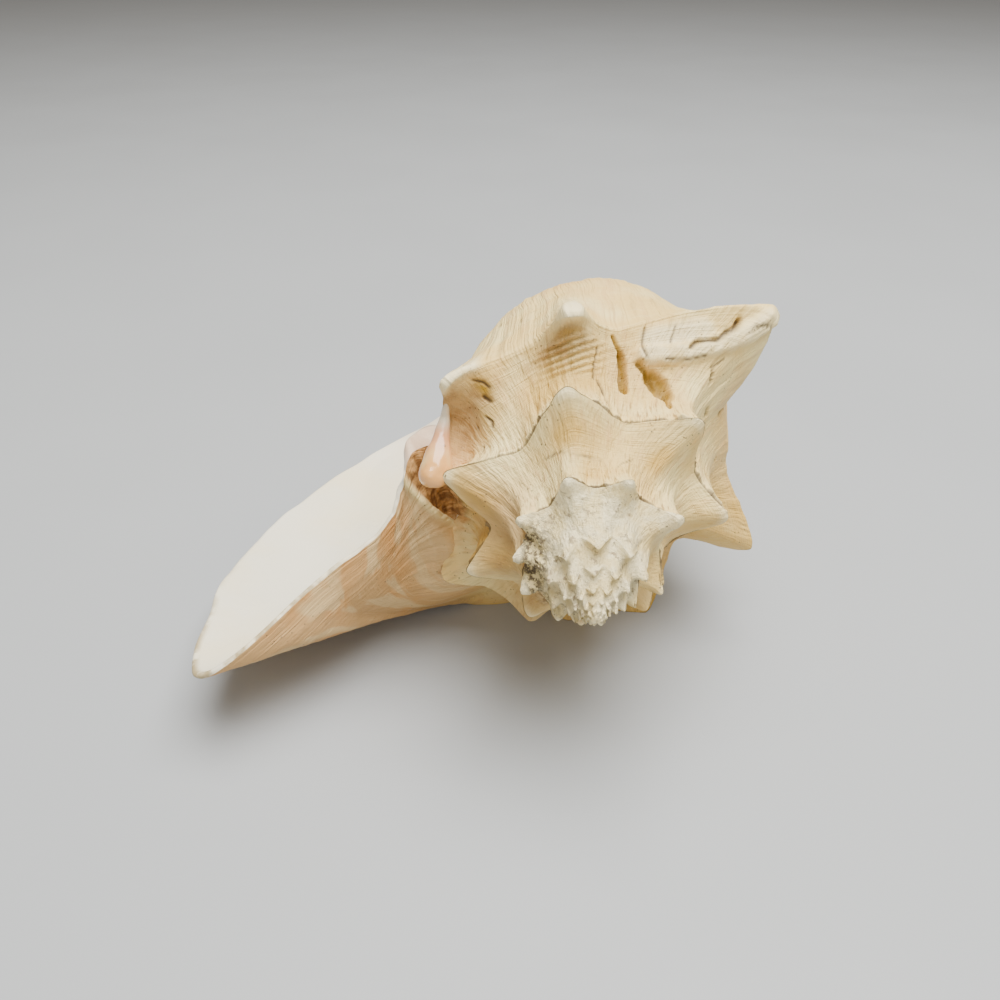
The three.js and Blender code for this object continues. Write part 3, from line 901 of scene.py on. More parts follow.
class Wiring:
    """Shorthand for wiring a material's nodes."""

    def __init__(self, name: str) -> None:
        """Start an empty material.

        Args:
            name: The material's name.
        """
        self.material = bpy.data.materials.new(name)
        self.material.use_nodes = True
        self.nodes = self.material.node_tree.nodes
        self.links = self.material.node_tree.links
        self.nodes.clear()
        self.shader = self.nodes.new("ShaderNodeBsdfPrincipled")
        output = self.nodes.new("ShaderNodeOutputMaterial")
        self.links.new(self.shader.outputs[0], output.inputs["Surface"])

    def put(self, socket: bpy.types.NodeSocket, value: object) -> None:
        """Link a socket to another one, or set it to a constant.

        Args:
            socket: The socket to fill.
            value: Another socket, or the constant.
        """
        if isinstance(value, bpy.types.NodeSocket):
            self.links.new(value, socket)
        else:
            socket.default_value = value

    def attribute(self, name: str) -> bpy.types.NodeSocket:
        """Read one of the mesh's masks.

        Args:
            name: The mask's name.

        Returns:
            The mask's value.
        """
        node = self.nodes.new("ShaderNodeAttribute")
        node.attribute_name = name
        return node.outputs["Fac"]

    def maths(self, how: Sum, a: object, b: object, clamp: bool = False) -> bpy.types.NodeSocket:
        """Combine two numbers.

        Args:
            how: What is done with them.
            a: The first number.
            b: The second number.
            clamp: Whether the result is kept between 0 and 1.

        Returns:
            The result.
        """
        node = self.nodes.new("ShaderNodeMath")
        node.operation = how.value
        node.use_clamp = clamp
        self.put(node.inputs[0], a)
        self.put(node.inputs[1], b)
        return node.outputs[0]

    def times(self, a: object, b: object) -> bpy.types.NodeSocket:
        """Multiply two numbers."""
        return self.maths(Sum.TIMES, a, b)

    def noise(
        self, scale: float, detail: float = 3.0, vector: object = None, rough: float = 0.55
    ) -> bpy.types.NodeSocket:
        """Add a noise texture.

        Args:
            scale: Lumps for each metre, or for each unit of the vector.
            detail: How many finer layers there are.
            vector: What to sample it at, or None for the object's own space.
            rough: How strong the finer layers are.

        Returns:
            The noise, from 0 to 1.
        """
        node = self.nodes.new("ShaderNodeTexNoise")
        node.inputs["Scale"].default_value = scale
        node.inputs["Detail"].default_value = detail
        node.inputs["Roughness"].default_value = rough
        self.put(node.inputs["Vector"], self.space() if vector is None else vector)
        return node.outputs["Fac"]

    def space(self) -> bpy.types.NodeSocket:
        """Return the object's own coordinates."""
        return self.nodes.new("ShaderNodeTexCoord").outputs["Object"]

    def cells(self, scale: float) -> bpy.types.NodeSocket:
        """Add a cell texture.

        Args:
            scale: Cells for each metre.

        Returns:
            The distance to each cell's middle.
        """
        node = self.nodes.new("ShaderNodeTexVoronoi")
        node.inputs["Scale"].default_value = scale
        self.links.new(self.space(), node.inputs["Vector"])
        return node.outputs["Distance"]

    def ramp(
        self, value: object, low: float, high: float, to_low: float = 0.0, to_high: float = 1.0
    ) -> bpy.types.NodeSocket:
        """Map a range of numbers smoothly onto another.

        Args:
            value: The number to map.
            low: Start of its range.
            high: End of its range.
            to_low: What the start becomes.
            to_high: What the end becomes.

        Returns:
            The mapped number.
        """
        node = self.nodes.new("ShaderNodeMapRange")
        node.interpolation_type = "SMOOTHSTEP"
        for name, number in (("From Min", low), ("From Max", high), ("To Min", to_low), ("To Max", to_high)):
            node.inputs[name].default_value = number
        self.put(node.inputs["Value"], value)
        return node.outputs["Result"]

    def mix(self, share: object, a: object, b: object) -> bpy.types.NodeSocket:
        """Mix two colours.

        Args:
            share: How much there is of the second one.
            a: The first colour.
            b: The second colour.

        Returns:
            The mixed colour.
        """
        node = self.nodes.new("ShaderNodeMix")
        node.data_type = "RGBA"
        self.put(node.inputs["Factor"], share)
        self.put(node.inputs["A"], a)
        self.put(node.inputs["B"], b)
        return node.outputs["Result"]

    def vector(self, x: object, y: object, z: object = 0.0) -> bpy.types.NodeSocket:
        """Join three numbers into a vector.

        Args:
            x: The first number.
            y: The second number.
            z: The third number.

        Returns:
            The vector.
        """
        node = self.nodes.new("ShaderNodeCombineXYZ")
        for socket, value in zip(node.inputs, (x, y, z)):
            self.put(socket, value)
        return node.outputs[0]

    def bump(
        self, height: object, distance: float, strength: float = 1.0, under: object = None
    ) -> bpy.types.NodeSocket:
        """Add a bump.

        Args:
            height: The bump's height, from 0 to 1.
            distance: Its full height in metres.
            strength: How much of it shows.
            under: Another bump that it lies on, if any.

        Returns:
            The bumped normal.
        """
        node = self.nodes.new("ShaderNodeBump")
        node.inputs["Strength"].default_value = strength
        node.inputs["Distance"].default_value = distance
        self.put(node.inputs["Height"], height)
        if under is not None:
            self.links.new(under, node.inputs["Normal"])
        return node.outputs["Normal"]


Colour = tuple[float, float, float, float]


@dataclass(frozen=True)
class OutsideFinish:
    """The shell's outside: cream and chalky, with growth lines, stains, dirt and a tan lip, with painted
    shade on two spine faces and painted light on the lip.
    """

    cream: Colour = (0.85, 0.595, 0.20, 1)
    pale: Colour = (0.93, 0.755, 0.345, 1)
    blush: Colour = (0.72, 0.44, 0.18, 1)
    chalk: Colour = (0.96, 0.85, 0.52, 1)
    bone: Colour = (0.88, 0.72, 0.36, 1)
    yellow: Colour = (0.68, 0.40, 0.065, 1)
    brown: Colour = (0.36, 0.20, 0.07, 1)
    tan: Colour = (0.62, 0.37, 0.145, 1)
    apricot: Colour = (0.66, 0.33, 0.10, 1)
    lip_pale: Colour = (0.75, 0.53, 0.25, 1)
    peach: Colour = (0.82, 0.46, 0.17, 1)
    ochre: Colour = (0.40, 0.235, 0.02, 1)
    soil: Colour = (0.22, 0.10, 0.026, 1)
    rust: Colour = (0.66, 0.36, 0.12, 1)
    line: Colour = (0.08, 0.05, 0.028, 1)
    grime: Colour = (0.30, 0.23, 0.14, 1)
    crust: Colour = (0.12, 0.085, 0.05, 1)
    grain: float = 0.0003
    line_depth: float = 0.0006

    def material(self) -> bpy.types.Material:
        """Wire the outside material.

        Returns:
            The material.
        """
        wire = Wiring("shell_outside")
        growth, row = wire.attribute("growth"), wire.attribute("row")
        wander = wire.times(wire.noise(60.0, 2.0), 0.35)
        grown = wire.maths(Sum.ADD, growth, wander)
        streaks = wire.noise(1.0, 2.0, wire.vector(wire.times(grown, 6.5), wire.times(row, 3.0)))
        hair = wire.noise(1.0, 2.0, wire.vector(wire.times(grown, 17.0), wire.times(row, 6.0), 3.0))
        cords = wire.noise(1.0, 2.0, wire.vector(wire.times(row, 70.0), wire.times(growth, 0.8), 6.0))
        colour = wire.mix(wire.ramp(wire.noise(38.0, 3.0), 0.38, 0.64), self.cream, self.pale)
        colour = wire.mix(wire.ramp(wire.noise(24.0, 2.0), 0.50, 0.70, 0.0, 0.55), colour, self.blush)
        colour = wire.mix(wire.ramp(streaks, 0.50, 0.72, 0.0, 0.45), colour, self.blush)
        fading = wire.ramp(row, 0.05, 0.6, 0.75, 0.30)
        colour = wire.mix(wire.times(wire.ramp(hair, 0.54, 0.70), fading), colour, self.brown)
        colour = wire.mix(wire.ramp(cords, 0.56, 0.72, 0.0, 0.25), colour, self.pale)
        colour = wire.mix(wire.times(wire.attribute("yellow"), 0.75), colour, self.yellow)
        colour = self._lip(wire, colour, growth, row, hair)
        mottle = wire.ramp(wire.noise(170.0, 4.0), 0.30, 0.62, 0.5, 1.0)
        # Brown stains; two of them are painted shade on the faces of spines.
        colour = wire.mix(wire.times(wire.times(wire.attribute("brown"), mottle), 0.85), colour, self.brown)
        colour = self._spire(wire, colour)
        chalky = wire.ramp(wire.noise(300.0, 3.0), 0.3, 0.6, 0.6, 1.0)
        colour = wire.mix(wire.times(wire.attribute("white"), chalky), colour, self.chalk)
        ochre = wire.times(wire.attribute("ochre"), wire.ramp(wire.noise(420.0, 3.0), 0.25, 0.6, 0.6, 1.0))
        colour = wire.mix(ochre, colour, self.ochre)
        specks = wire.ramp(wire.cells(640.0), 0.10, 0.20, 1.0, 0.0)
        specks = wire.times(specks, wire.ramp(wire.noise(110.0, 2.0), 0.52, 0.62))
        colour = wire.mix(wire.times(specks, 0.75), colour, self.line)
        colour = wire.mix(wire.attribute("glaze"), colour, self.peach)
        colour = self._dirt(wire, colour)
        colour = wire.mix(wire.times(wire.attribute("dark"), 0.92), colour, self.line)
        wire.put(wire.shader.inputs["Base Color"], colour)
        dull = wire.ramp(wire.noise(60.0, 3.0), 0.35, 0.7, 0.50, 0.70)
        dull = wire.maths(Sum.ADD, dull, wire.times(wire.attribute("dirt"), 0.2))
        dull = wire.maths(Sum.TAKE, dull, wire.times(wire.attribute("glaze"), 0.35))
        wire.put(wire.shader.inputs["Roughness"], dull)
        wire.shader.inputs["Specular IOR Level"].default_value = 0.35
        wire.put(wire.shader.inputs["Normal"], self._normal(wire, hair, streaks, cords))
        return wire.material

    def _lip(self, wire: Wiring, colour: object, growth: object, row: object, hair: object) -> object:
        """Colour the lip's back: tan, outward pale bands, warmer patches between, painted light near the
        suture.

        Args:
            wire: The material's wiring.
            colour: The colour elsewhere.
            growth: The spiral's size where the shell grew, in millimetres.
            row: Rows from the suture to the front end.
            hair: Fine growth lines.

        Returns:
            The colour with the lip in it.
        """
        swing = wire.times(wire.noise(45.0, 2.0), 1.8)
        across = wire.maths(Sum.ADD, wire.times(row, 11.0), swing)
        bands = wire.noise(1.0, 2.0, wire.vector(wire.times(growth, 0.28), across))
        back = wire.mix(wire.ramp(wire.noise(46.0, 2.0), 0.42, 0.62), self.tan, self.apricot)
        back = wire.mix(wire.ramp(bands, 0.50, 0.60, 0.0, 0.85), back, self.lip_pale)
        # Painted light: the lip's back is made paler towards the suture, on the side that the light falls on.
        back = wire.mix(wire.ramp(row, 0.25, 0.5, 0.55, 0.0), back, self.lip_pale)
        back = wire.mix(wire.ramp(hair, 0.52, 0.70, 0.0, 0.3), back, self.tan)
        back = wire.mix(wire.times(wire.attribute("edge"), 0.8), back, self.pale)
        return wire.mix(wire.attribute("lip"), colour, back)

    def _spire(self, wire: Wiring, colour: object) -> object:
        """Colour the worn spire: bone white, with grey grime in its pits and a dark crust on its left.

        Args:
            wire: The material's wiring.
            colour: The colour elsewhere.

        Returns:
            The colour with the spire in it.
        """
        worn = wire.mix(wire.ramp(wire.noise(170.0, 4.0), 0.40, 0.58), self.bone, self.chalk)
        grime = wire.ramp(wire.noise(380.0, 5.0, rough=0.7), 0.54, 0.64, 0.0, 0.85)
        worn = wire.mix(grime, worn, self.grime)
        colour = wire.mix(wire.times(wire.attribute("wear"), 0.92), colour, worn)
        grit = wire.ramp(wire.noise(620.0, 4.0, rough=0.75), 0.44, 0.56)
        crust = wire.mix(grit, self.crust, self.bone)
        return wire.mix(wire.times(wire.attribute("crust"), 0.95), colour, crust)

    def _dirt(self, wire: Wiring, colour: object) -> object:
        """Colour the rusty soil that is caught between the lip and the whorl above.

        Args:
            wire: The material's wiring.
            colour: The colour elsewhere.

        Returns:
            The colour with the soil in it.
        """
        soil = wire.mix(wire.ramp(wire.noise(210.0, 4.0), 0.40, 0.60), self.soil, self.rust)
        cover = wire.ramp(wire.noise(300.0, 4.0), 0.25, 0.5, 0.55, 1.0)
        return wire.mix(wire.maths(Sum.TIMES, wire.attribute("dirt"), cover, True), colour, soil)

    def _normal(self, wire: Wiring, hair: object, streaks: object, cords: object) -> object:
        """Add the grain that is finer than the mesh.

        Args:
            wire: The material's wiring.
            hair: Fine growth lines.
            streaks: Broad growth lines.
            cords: Lines along the whorl.

        Returns:
            The bumped normal.
        """
        lines = wire.maths(Sum.ADD, hair, wire.times(streaks, 0.8))
        lines = wire.maths(Sum.ADD, lines, wire.times(cords, 0.5))
        under = wire.bump(lines, self.line_depth, 1.0)
        coarser = wire.maths(Sum.ADD, wire.times(wire.attribute("wear"), 2.2), 0.8)
        pits = wire.times(wire.noise(420.0, 5.0, rough=0.65), coarser)
        return wire.bump(pits, self.grain, 1.0, under)


@dataclass(frozen=True)
class PorcelainFinish:
    """The lip's inner face and the mouth: smooth, cream white, pinker deep inside."""

    milk: Colour = (0.90, 0.85, 0.68, 1)
    ivory: Colour = (0.92, 0.82, 0.58, 1)
    rose: Colour = (0.86, 0.55, 0.38, 1)
    edge: Colour = (0.42, 0.33, 0.17, 1)
    soil: Colour = (0.36, 0.17, 0.05, 1)
    gloss: float = 0.24

    def material(self) -> bpy.types.Material:
        """Wire the porcelain material.

        Returns:
            The material.
        """
        wire = Wiring("shell_porcelain")
        colour = wire.mix(wire.ramp(wire.noise(22.0, 3.0), 0.38, 0.65), self.milk, self.ivory)
        colour = wire.mix(wire.attribute("deep"), colour, self.rose)
        rim = wire.times(wire.attribute("rim"), wire.ramp(wire.noise(160.0, 4.0), 0.36, 0.56))
        colour = wire.mix(rim, colour, self.edge)
        stained = wire.times(wire.attribute("dirt"), wire.ramp(wire.noise(260.0, 3.0), 0.3, 0.55, 0.5, 1.0))
        colour = wire.mix(stained, colour, self.soil)
        specks = wire.ramp(wire.cells(120.0), 0.04, 0.08, 1.0, 0.0)
        specks = wire.times(specks, wire.ramp(wire.noise(45.0, 2.0), 0.58, 0.64))
        colour = wire.mix(specks, colour, self.edge)
        wire.put(wire.shader.inputs["Base Color"], colour)
        rough = wire.ramp(wire.noise(35.0, 3.0), 0.35, 0.7, self.gloss, self.gloss + 0.14)
        rough = wire.maths(Sum.ADD, rough, wire.times(rim, 0.35))
        wire.put(wire.shader.inputs["Roughness"], wire.maths(Sum.ADD, rough, wire.times(stained, 0.4)))
        wire.put(wire.shader.inputs["Coat Weight"], 0.15)
        wire.put(wire.shader.inputs["Coat Roughness"], 0.2)
        wire.put(wire.shader.inputs["Normal"], wire.bump(wire.noise(70.0, 3.0), 0.0009, 0.35))
        return wire.material


@dataclass(frozen=True)
class CallusFinish:
    """The callus knob: wet-looking peach enamel, paler at its lower end, with a few specks."""

    peach: Colour = (0.82, 0.41, 0.125, 1)
    pink: Colour = (0.76, 0.37, 0.18, 1)
    cream: Colour = (0.88, 0.59, 0.24, 1)
    speck: Colour = (0.30, 0.17, 0.08, 1)
    ash: Colour = (0.70, 0.60, 0.44, 1)
    gloss: float = 0.12

    def material(self) -> bpy.types.Material:
        """Wire the callus material.

        Returns:
            The material.
        """
        wire = Wiring("callus_enamel")
        colour = wire.mix(wire.ramp(wire.noise(110.0, 2.0), 0.40, 0.62), self.peach, self.cream)
        colour = wire.mix(wire.ramp(wire.attribute("upper"), 0.35, 0.6), colour, self.pink)
        colour = wire.mix(wire.ramp(wire.attribute("upper"), 0.60, 0.80), colour, self.ash)
        specks = wire.ramp(wire.cells(260.0), 0.08, 0.14, 0.9, 0.0)
        specks = wire.times(specks, wire.ramp(wire.noise(150.0, 2.0), 0.54, 0.60))
        colour = wire.mix(specks, colour, self.speck)
        wire.put(wire.shader.inputs["Base Color"], colour)
        rough = wire.ramp(wire.noise(90.0, 2.0), 0.3, 0.7, self.gloss, self.gloss + 0.12)
        wire.put(wire.shader.inputs["Roughness"], rough)
        wire.put(wire.shader.inputs["Coat Weight"], 0.5)
        wire.put(wire.shader.inputs["Coat Roughness"], 0.08)
        wire.put(wire.shader.inputs["Normal"], wire.bump(wire.noise(200.0, 2.0), 0.0008, 0.5))
        return wire.material


@dataclass(frozen=True)
class TableFinish:
    """The plain pale surface that the shell lies on."""

    pale: Colour = (0.385, 0.40, 0.41, 1)
    shade: Colour = (0.37, 0.385, 0.395, 1)

    def material(self) -> bpy.types.Material:
        """Wire the table material.

        Returns:
            The material.
        """
        wire = Wiring("table_top")
        wire.put(wire.shader.inputs["Base Color"], wire.mix(wire.noise(6.0, 2.0), self.pale, self.shade))
        wire.put(wire.shader.inputs["Roughness"], wire.ramp(wire.noise(9.0, 2.0), 0.3, 0.7, 0.5, 0.6))
        return wire.material


@dataclass
class Callus:
    """The knob of callus that hangs over the notch between the lip and the whorl above."""

    spine: tuple[Triple, ...] = (
        (-39.7, 44.2, 8.4), (-39.6, 45.2, 11.0), (-38.9, 48.2, 14.2), (-38.0, 52.8, 18.2),
        (-37.0, 56.0, 23.0), (-36.4, 55.6, 28.0),
    )
    radii: tuple[float, ...] = (3.2, 4.2, 3.8, 2.6, 1.4, 0.9)
    steps: int = 56
    sides: int = 56
    lump: float = 1 / 5
    swell: Noise = Noise(5)

    def build(self, place: Place, material: bpy.types.Material) -> bpy.types.Object:
        """Build the knob.

        Args:
            place: How the shell sits in the model.
            material: The knob's finish.

        Returns:
            The knob.
        """
        knots = np.linspace(0, 1, len(self.spine))
        share = (1 - np.cos(np.linspace(0, math.pi, self.steps + 1))) / 2
        path = curve_through(knots, [np.array(point, float) for point in self.spine], share)
        radius = np.interp(share, knots, self.radii) * np.sqrt(1 - (2 * share - 1) ** 8)
        ahead = np.gradient(path, axis=0)
        ahead /= np.linalg.norm(ahead, axis=1, keepdims=True)
        side = np.cross(ahead, (0, 0, 1.0))
        side /= np.linalg.norm(side, axis=1, keepdims=True)
        over = np.cross(side, ahead)
        angle = np.linspace(0, FULL_TURN, self.sides + 1)
        ring = np.cos(angle)[None, :, None] * side[:, None] + np.sin(angle)[None, :, None] * over[:, None]
        points = path[:, None] + ring * radius[:, None, None]
        lumps = self.swell.layered(points, 6.0)[..., None] * (radius * self.lump)[:, None, None]
        points = points + ring * lumps
        upper = np.broadcast_to(share[:, None], points.shape[:2])
        knob = grid_object("shell_callus_knob", Patch(points, upper, upper), place, {"upper": upper})
        work = bmesh.new()
        work.from_mesh(knob.data)
        bmesh.ops.remove_doubles(work, verts=work.verts, dist=1e-7)
        bmesh.ops.recalc_face_normals(work, faces=work.faces)
        work.to_mesh(knob.data)
        work.free()
        knob.data.materials.append(material)
        return knob


@dataclass
class Shell:
    """The whole shell: its form, how finely it is skinned, and the pieces made of it."""

    form: Form = field(default_factory=Form)
    body_columns: int = 980
    lip_columns: int = 1400
    mouth_columns: int = 820
    ramp_rows: int = 70
    flank_rows: int = 50
    spire_rows: int = 36
    spire_columns: tuple[tuple[float, int], ...] = ((-1, 700), (-2, 520), (-3, 380), (-4, 260))
    margin_wave: float = 0.011
    relief: Relief = field(init=False)
    place: Place = field(init=False)

    def __post_init__(self) -> None:
        """Work out the relief and the shell's place."""
        self.relief = Relief(self.form)
        self.place = self._settle()

    def turns(self, start: float, end: float, per_turn: int) -> Array:
        """Return column turns from start to end, so many for each turn."""
        return np.linspace(start, end, round((end - start) * per_turn) + 1)

    def spire_turns(self) -> Array:
        """Return the spire's column turns, fewer on each older whorl.

        Returns:
            Turns, the oldest first.
        """
        first = self.form.spiral.first_turn
        turns = [np.array([-1.0])]
        for end, count in self.spire_columns:
            last_whorl = end == self.spire_columns[-1][0]
            start = first if last_whorl else end - 1
            turns.append(np.linspace(end, start, round((end - start) * count) + 1)[1:])
        return np.concatenate(turns)[::-1]

    def body_rows(self) -> Array:
        """Return rows of the body whorl, closer together near the suture and the keel.

        Returns:
            Rows from 0 to 2.
        """
        ramp = np.linspace(0, 1, self.ramp_rows + 1)
        ramp = ramp ** (1 + 0.5 * (1 - ramp))
        flank = 1 + np.linspace(0, 1, self.flank_rows + 1)[1:] ** 1.15
        return np.concatenate([ramp, flank])

    def lip_rows(self) -> Array:
        """Return rows of the lip: the body's rows with one more between each pair.

        Returns:
            Rows from 0 to 2.
        """
        rows = self.body_rows()
        middles = (rows[1:] + rows[:-1]) / 2
        return np.sort(np.concatenate([rows, middles]))

    def margin(self, turn: Array, row: Array) -> Array:
        """Pull the lip's edge in and out a little, so that its margin is wavy.

        Args:
            turn: Turns along the spiral.
            row: Rows of the lip.

        Returns:
            The turns to sample the form at.
        """
        near = smooth((turn + 0.06) / (0.06 + self.form.mouth_turn))
        ripple = 0.0016 * self.relief.fine.at(np.stack([row * 22, 0 * row, 0 * row], axis=-1), 1.0)
        dent = bell(row, 1.62, 0.12) + 0.35 * bell(row, 0.62, 0.1)
        ends = smooth(row / 0.1) * smooth((2 - row) / 0.1)
        return turn - near * (self.margin_wave * dent + ripple + 0.0016) * ends

    def _settle(self) -> Place:
        """Lay the shell as the solid lies: its box's middle over the origin, its ground at 0.

        Returns:
            The shell's place in the model.
        """
        low, high = np.array(CAD_BOX[0]), np.array(CAD_BOX[1])
        turns = self.turns(-1, self.form.mouth_turn, self.mouth_columns)
        turn, row = np.meshgrid(turns, np.linspace(0, 2, 81), indexing="ij")
        body = self.form.outside(turn, row).reshape(-1, 3)
        front = body[:, 1].max()
        middle_x = (body[:, 0].min() + body[:, 0].max()) / 2
        return Place((-middle_x, high[1] / MM - front, -self.form.ground), tuple(low), tuple(high))

    def dressed(self, turns: Array, rows: Array) -> tuple[Patch, dict[str, Array]]:
        """Return a grid of the outside with its relief, and its masks.

        Args:
            turns: Column turns.
            rows: Row values.

        Returns:
            The grid and its masks.
        """
        turn, row = np.meshgrid(turns, rows, indexing="ij")
        at = self.margin(turn, row)
        patch = Patch(self.form.outside(at, row), turn, row)
        masks = self.relief.masks(patch)
        height = self.relief.height(patch, masks) * smooth(row / 0.012)
        points = patch.points + self.form.outward(at, row, True) * height[..., None]
        if rows[0] == 0:
            points[:, 0] = self._keel_points(turns - 1)
        return Patch(self._lay_flat(points), turn, row), masks

    def _keel_points(self, turns: Array) -> Array:
        """Return the keel with its relief, which is also the suture of the next whorl.

        Args:
            turns: Column turns.

        Returns:
            Points in millimetres.
        """
        near = np.array([0.985, 1.0, 1.015])
        turn, row = np.meshgrid(turns, near, indexing="ij")
        patch = Patch(self.form.outside(turn, row), turn, row)
        height = self.relief.height(patch, self.relief.masks(patch))
        return (patch.points + self.form.outward(turn, row, True) * height[..., None])[:, 1]

    def _lay_flat(self, points: Array, floor: float = 0.0) -> Array:
        """Wear the points flat where the shell lies."""
        points[..., 2] = np.maximum(points[..., 2], self.form.ground + floor)
        return points

    def build(self) -> list[bpy.types.Object]:
        """Build and dress every piece of the shell.

        Returns:
            The pieces.
        """
        outside = OutsideFinish().material()
        porcelain = PorcelainFinish().material()
        pieces = [self.body_whorl(outside), self.lip_back(outside), self.spire(outside)]
        pieces += [self.mouth(porcelain), self.parietal(porcelain)]
        pieces.append(Callus().build(self.place, CallusFinish().material()))
        for piece in pieces:
            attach(piece, "root")
            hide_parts(NODE)
            log.info("%s: %d faces", piece.name, len(piece.data.polygons))
        return pieces

    def body_whorl(self, material: bpy.types.Material) -> bpy.types.Object:
        """Build the last whorl up to the lip.

        Args:
            material: The piece's finish.

        Returns:
            The piece.
        """
        patch, masks = self.dressed(self.turns(-1, self.form.lip_start, self.body_columns), self.body_rows())
        piece = grid_object("shell_body_whorl", patch, self.place, masks)
        piece.data.materials.append(material)
        return piece

    def lip_back(self, material: bpy.types.Material) -> bpy.types.Object:
        """Build the back of the flared lip.

        Args:
            material: The piece's finish.

        Returns:
            The piece.
        """
        turns = self.turns(self.form.lip_start, self.form.mouth_turn, self.lip_columns)
        patch, masks = self.dressed(turns, self.lip_rows())
        piece = grid_object("shell_lip_back", patch, self.place, masks)
        piece.data.materials.append(material)
        return piece

    def spire(self, material: bpy.types.Material) -> bpy.types.Object:
        """Build the older whorls and close their apex with a worn cap.

        Args:
            material: The piece's finish.

        Returns:
            The piece.
        """
        rows = np.linspace(0, 1, self.spire_rows + 1) ** 1.15
        turns = self.spire_turns()
        patch, masks = self.dressed(turns, rows)
        piece = grid_object("shell_spire", patch, self.place, masks)
        work = bmesh.new()
        work.from_mesh(piece.data)
        work.verts.ensure_lookup_table()
        per_column = len(rows)
        around = int(np.searchsorted(turns, self.form.spiral.first_turn + 1 - 1e-9))
        ring = [work.verts[column * per_column] for column in range(around + 1)]
        ring += [work.verts[row] for row in range(per_column - 2, 0, -1)]
        middle = sum((vert.co for vert in ring), Vector()) / len(ring)
        tip = middle - Vector((0, self.form.apex_height * MM, 0))
        tip.y = max(tip.y, self.place.low[1])
        self._close_cap(work, ring, middle, tip)
        work.to_mesh(piece.data)
        work.free()
        piece.data.materials.append(material)
        return piece

    def _close_cap(
        self, work: bmesh.types.BMesh, ring: list[bmesh.types.BMVert], middle: Vector, tip: Vector
    ) -> None:
        """Close a ring with a dome.

        Args:
            work: The mesh that holds the ring.
            ring: Its vertices in order.
            middle: The ring's middle.
            tip: The dome's top.
        """
        masks = {name: work.verts.layers.float[name] for name in ("wear", "growth")}
        growth = ring[0][masks["growth"]]
        outer = ring
        for share in (0.3, 0.6, 0.85):
            lift = (tip - middle) * math.sqrt(1 - (1 - share) ** 2)
            inner = [work.verts.new(vert.co.lerp(middle, share) + lift) for vert in ring]
            for vert in inner:
                vert.co.y = max(vert.co.y, self.place.low[1])
            next_outer = outer[1:] + outer[:1]
            next_inner = inner[1:] + inner[:1]
            for here, following, top, next_top in zip(outer, next_outer, inner, next_inner):
                work.faces.new((following, here, top, next_top)).smooth = True
            outer = inner
            for vert in inner:
                vert[masks["wear"]] = 1.0
                vert[masks["growth"]] = growth
        top = work.verts.new(tip)
        top[masks["wear"]] = 1.0
        for here, following in zip(outer, outer[1:] + outer[:1]):
            work.faces.new((following, here, top)).smooth = True

    def mouth(self, material: bpy.types.Material) -> bpy.types.Object:
        """Build the inner face of the lip and its rounded rim.

        Args:
            material: The piece's finish.

        Returns:
            The piece.
        """
        form = self.form
        rows = self.lip_rows()
        turns = self.turns(form.cavity_turn, form.mouth_turn, self.mouth_columns)
        turn, row = np.meshgrid(turns, rows, indexing="ij")
        inner = form.inside(self.margin(turn, row), row)
        near_suture = np.clip(1 - row / 0.45, 0, 1)[..., None] ** 2
        near_front = np.clip((row - 1.8) / 0.2, 0, 1)[..., None] ** 2
        first, last = form.outside(turn[:, 0] - 1, 1 + 1 / 11), form.outside(turn[:, 0] - 1, 2 - 1 / 11)
        to_suture = (first - inner[:, 0])[:, None] * near_suture
        inner = inner + to_suture + (last - inner[:, -1])[:, None] * near_front
        inner = self._lay_flat(inner, form.least_floor)
        edge_turns = self.turns(form.lip_start, form.mouth_turn, self.lip_columns)[-3:]
        outer_edge = self.dressed(edge_turns, rows)[0].points[-1]
        inner_edge = inner[-1]
        before = self.margin(np.full_like(rows, form.mouth_turn - 0.004), rows)
        along = outer_edge - form.outside(before, rows, False)
        along = along / (np.linalg.norm(along, axis=-1, keepdims=True) + 1e-9)
        thickness = np.linalg.norm(outer_edge - inner_edge, axis=-1, keepdims=True)
        columns = []
        for share in np.linspace(0, 1, 6)[1:]:
            bulge = 0.45 * np.sin(math.pi * share) * thickness
            columns.append(inner_edge + (outer_edge - inner_edge) * share + along * np.minimum(bulge, 0.7))
        points = self._lay_flat(np.concatenate([inner, np.stack(columns)]))
        extra = np.full((len(columns), len(rows)), form.mouth_turn)
        turn = np.concatenate([turn, extra])
        row = np.concatenate([row, np.broadcast_to(rows, extra.shape)])
        rim = smooth((turn - form.mouth_turn + 0.004) / 0.004)
        rim = rim * np.clip(1.6 * bell(row, 0.9, 0.19) + 0.3 * bell(row, 0.5, 0.1), 0, 1)
        dirt = 0.3 * smooth((0.19 - row) / 0.03) * smooth((turn + 0.06) / 0.05)
        deep = 0.9 * smooth((-0.10 - turn) / 0.16) + 0.35 * smooth((row - 1.45) / 0.45)
        deep = deep + 0.55 * smooth((0.26 - row) / 0.08) * smooth((turn + 0.08) / 0.05)
        masks = {"rim": rim, "deep": deep, "dirt": dirt}
        piece = grid_object("shell_mouth", Patch(points, turn, row), self.place, masks, flip=True)
        piece.data.materials.append(material)
        return piece

    def parietal(self, material: bpy.types.Material) -> bpy.types.Object:
        """Build the whorl seen inside the mouth.

        Args:
            material: The piece's finish.

        Returns:
            The piece.
        """
        form = self.form
        turns = self.turns(form.cavity_turn - 1, form.mouth_turn - 1, 600)
        turn, row = np.meshgrid(turns, np.linspace(1, 2, 60), indexing="ij")
        masks = {"rim": 0 * turn, "deep": 0.9 * smooth((-1.06 - turn) / 0.16), "dirt": 0 * turn}
        piece = grid_object("shell_inner_whorl", Patch(form.outside(turn, row), turn, row), self.place, masks)
        piece.data.materials.append(material)
        return piece


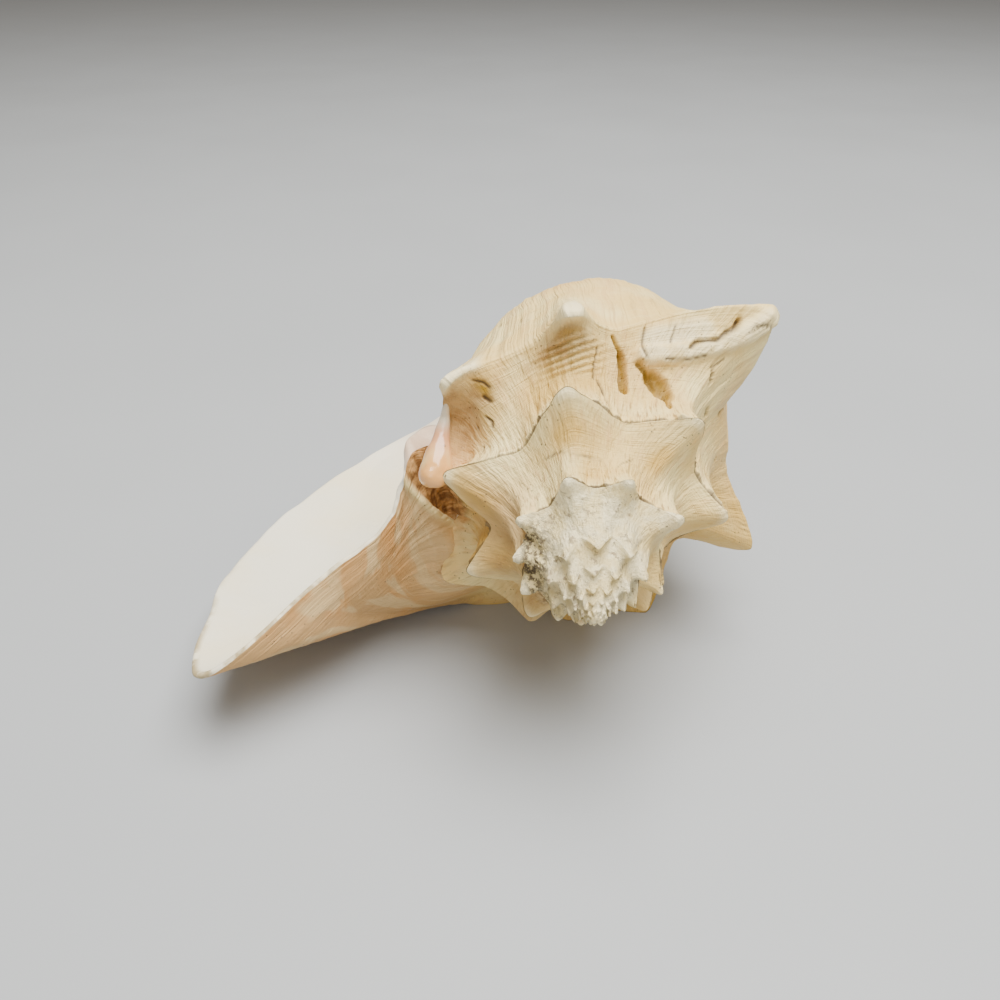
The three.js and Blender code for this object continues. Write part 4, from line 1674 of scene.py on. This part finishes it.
@dataclass
class Studio:
    """The camera, the lights and the table."""

    place: Place
    eye: Triple = (-22.3, -153.4, 142.6)
    pitch: float = 35.0
    lens: float = 32.4
    table_size: float = 6.0
    room_tint: Colour = (1.0, 0.90, 0.78, 1)
    room_light: float = 0.27

    def build(self) -> None:
        """Set up the whole studio."""
        self.camera()
        self.table()
        self.lamp("overhead", (0.20, -0.04, 1.22), 1.1, 47.0, (1.0, 0.99, 0.965))
        self.lamp("window", (-0.10, -1.20, 0.80), 1.0, 6.0, (1.0, 0.97, 0.92))
        world = bpy.data.worlds.new("room")
        world.use_nodes = True
        background = world.node_tree.nodes["Background"]
        background.inputs["Color"].default_value = self.room_tint
        background.inputs["Strength"].default_value = self.room_light
        bpy.context.scene.world = world

    def camera(self) -> None:
        """Put the camera where the photograph was taken from."""
        data = bpy.data.cameras.new("camera")
        data.lens = self.lens
        data.sensor_width = 36.0
        data.clip_start = 0.01
        camera = bpy.data.objects.new("camera", data)
        camera.location = (np.array(self.eye) + np.array(self.place.shift)) * MM
        camera.rotation_euler = (math.radians(90 - self.pitch), 0, 0)
        bpy.context.scene.collection.objects.link(camera)
        bpy.context.scene.camera = camera

    def table(self) -> None:
        """Lay the table top at height 0."""
        mesh = bpy.data.meshes.new("table")
        half = self.table_size / 2
        corners = [(-half, -half, 0), (half, -half, 0), (half, half, 0), (-half, half, 0)]
        mesh.from_pydata(corners, [], [(0, 1, 2, 3)])
        table = bpy.data.objects.new("table", mesh)
        bpy.context.scene.collection.objects.link(table)
        mesh.materials.append(TableFinish().material())

    def lamp(self, name: str, where: Triple, size: float, power: float, tint: Triple) -> None:
        """Hang a soft lamp that points at the shell.

        Args:
            name: The lamp's name.
            where: Its place in metres.
            size: Its width in metres.
            power: Its power in watts.
            tint: Its colour.
        """
        data = bpy.data.lights.new(name, "AREA")
        data.size = size
        data.energy = power
        data.color = tint
        lamp = bpy.data.objects.new(name, data)
        lamp.location = where
        lamp.rotation_euler = (-Vector(where)).to_track_quat("-Z", "Y").to_euler()
        bpy.context.scene.collection.objects.link(lamp)


def main() -> None:
    """Build the shell, dress it and light it."""
    logging.basicConfig(level=logging.INFO, format="%(message)s")
    shell = Shell()
    Studio(shell.place).build()
    shell.build()


if __name__ == "__main__":
    main()
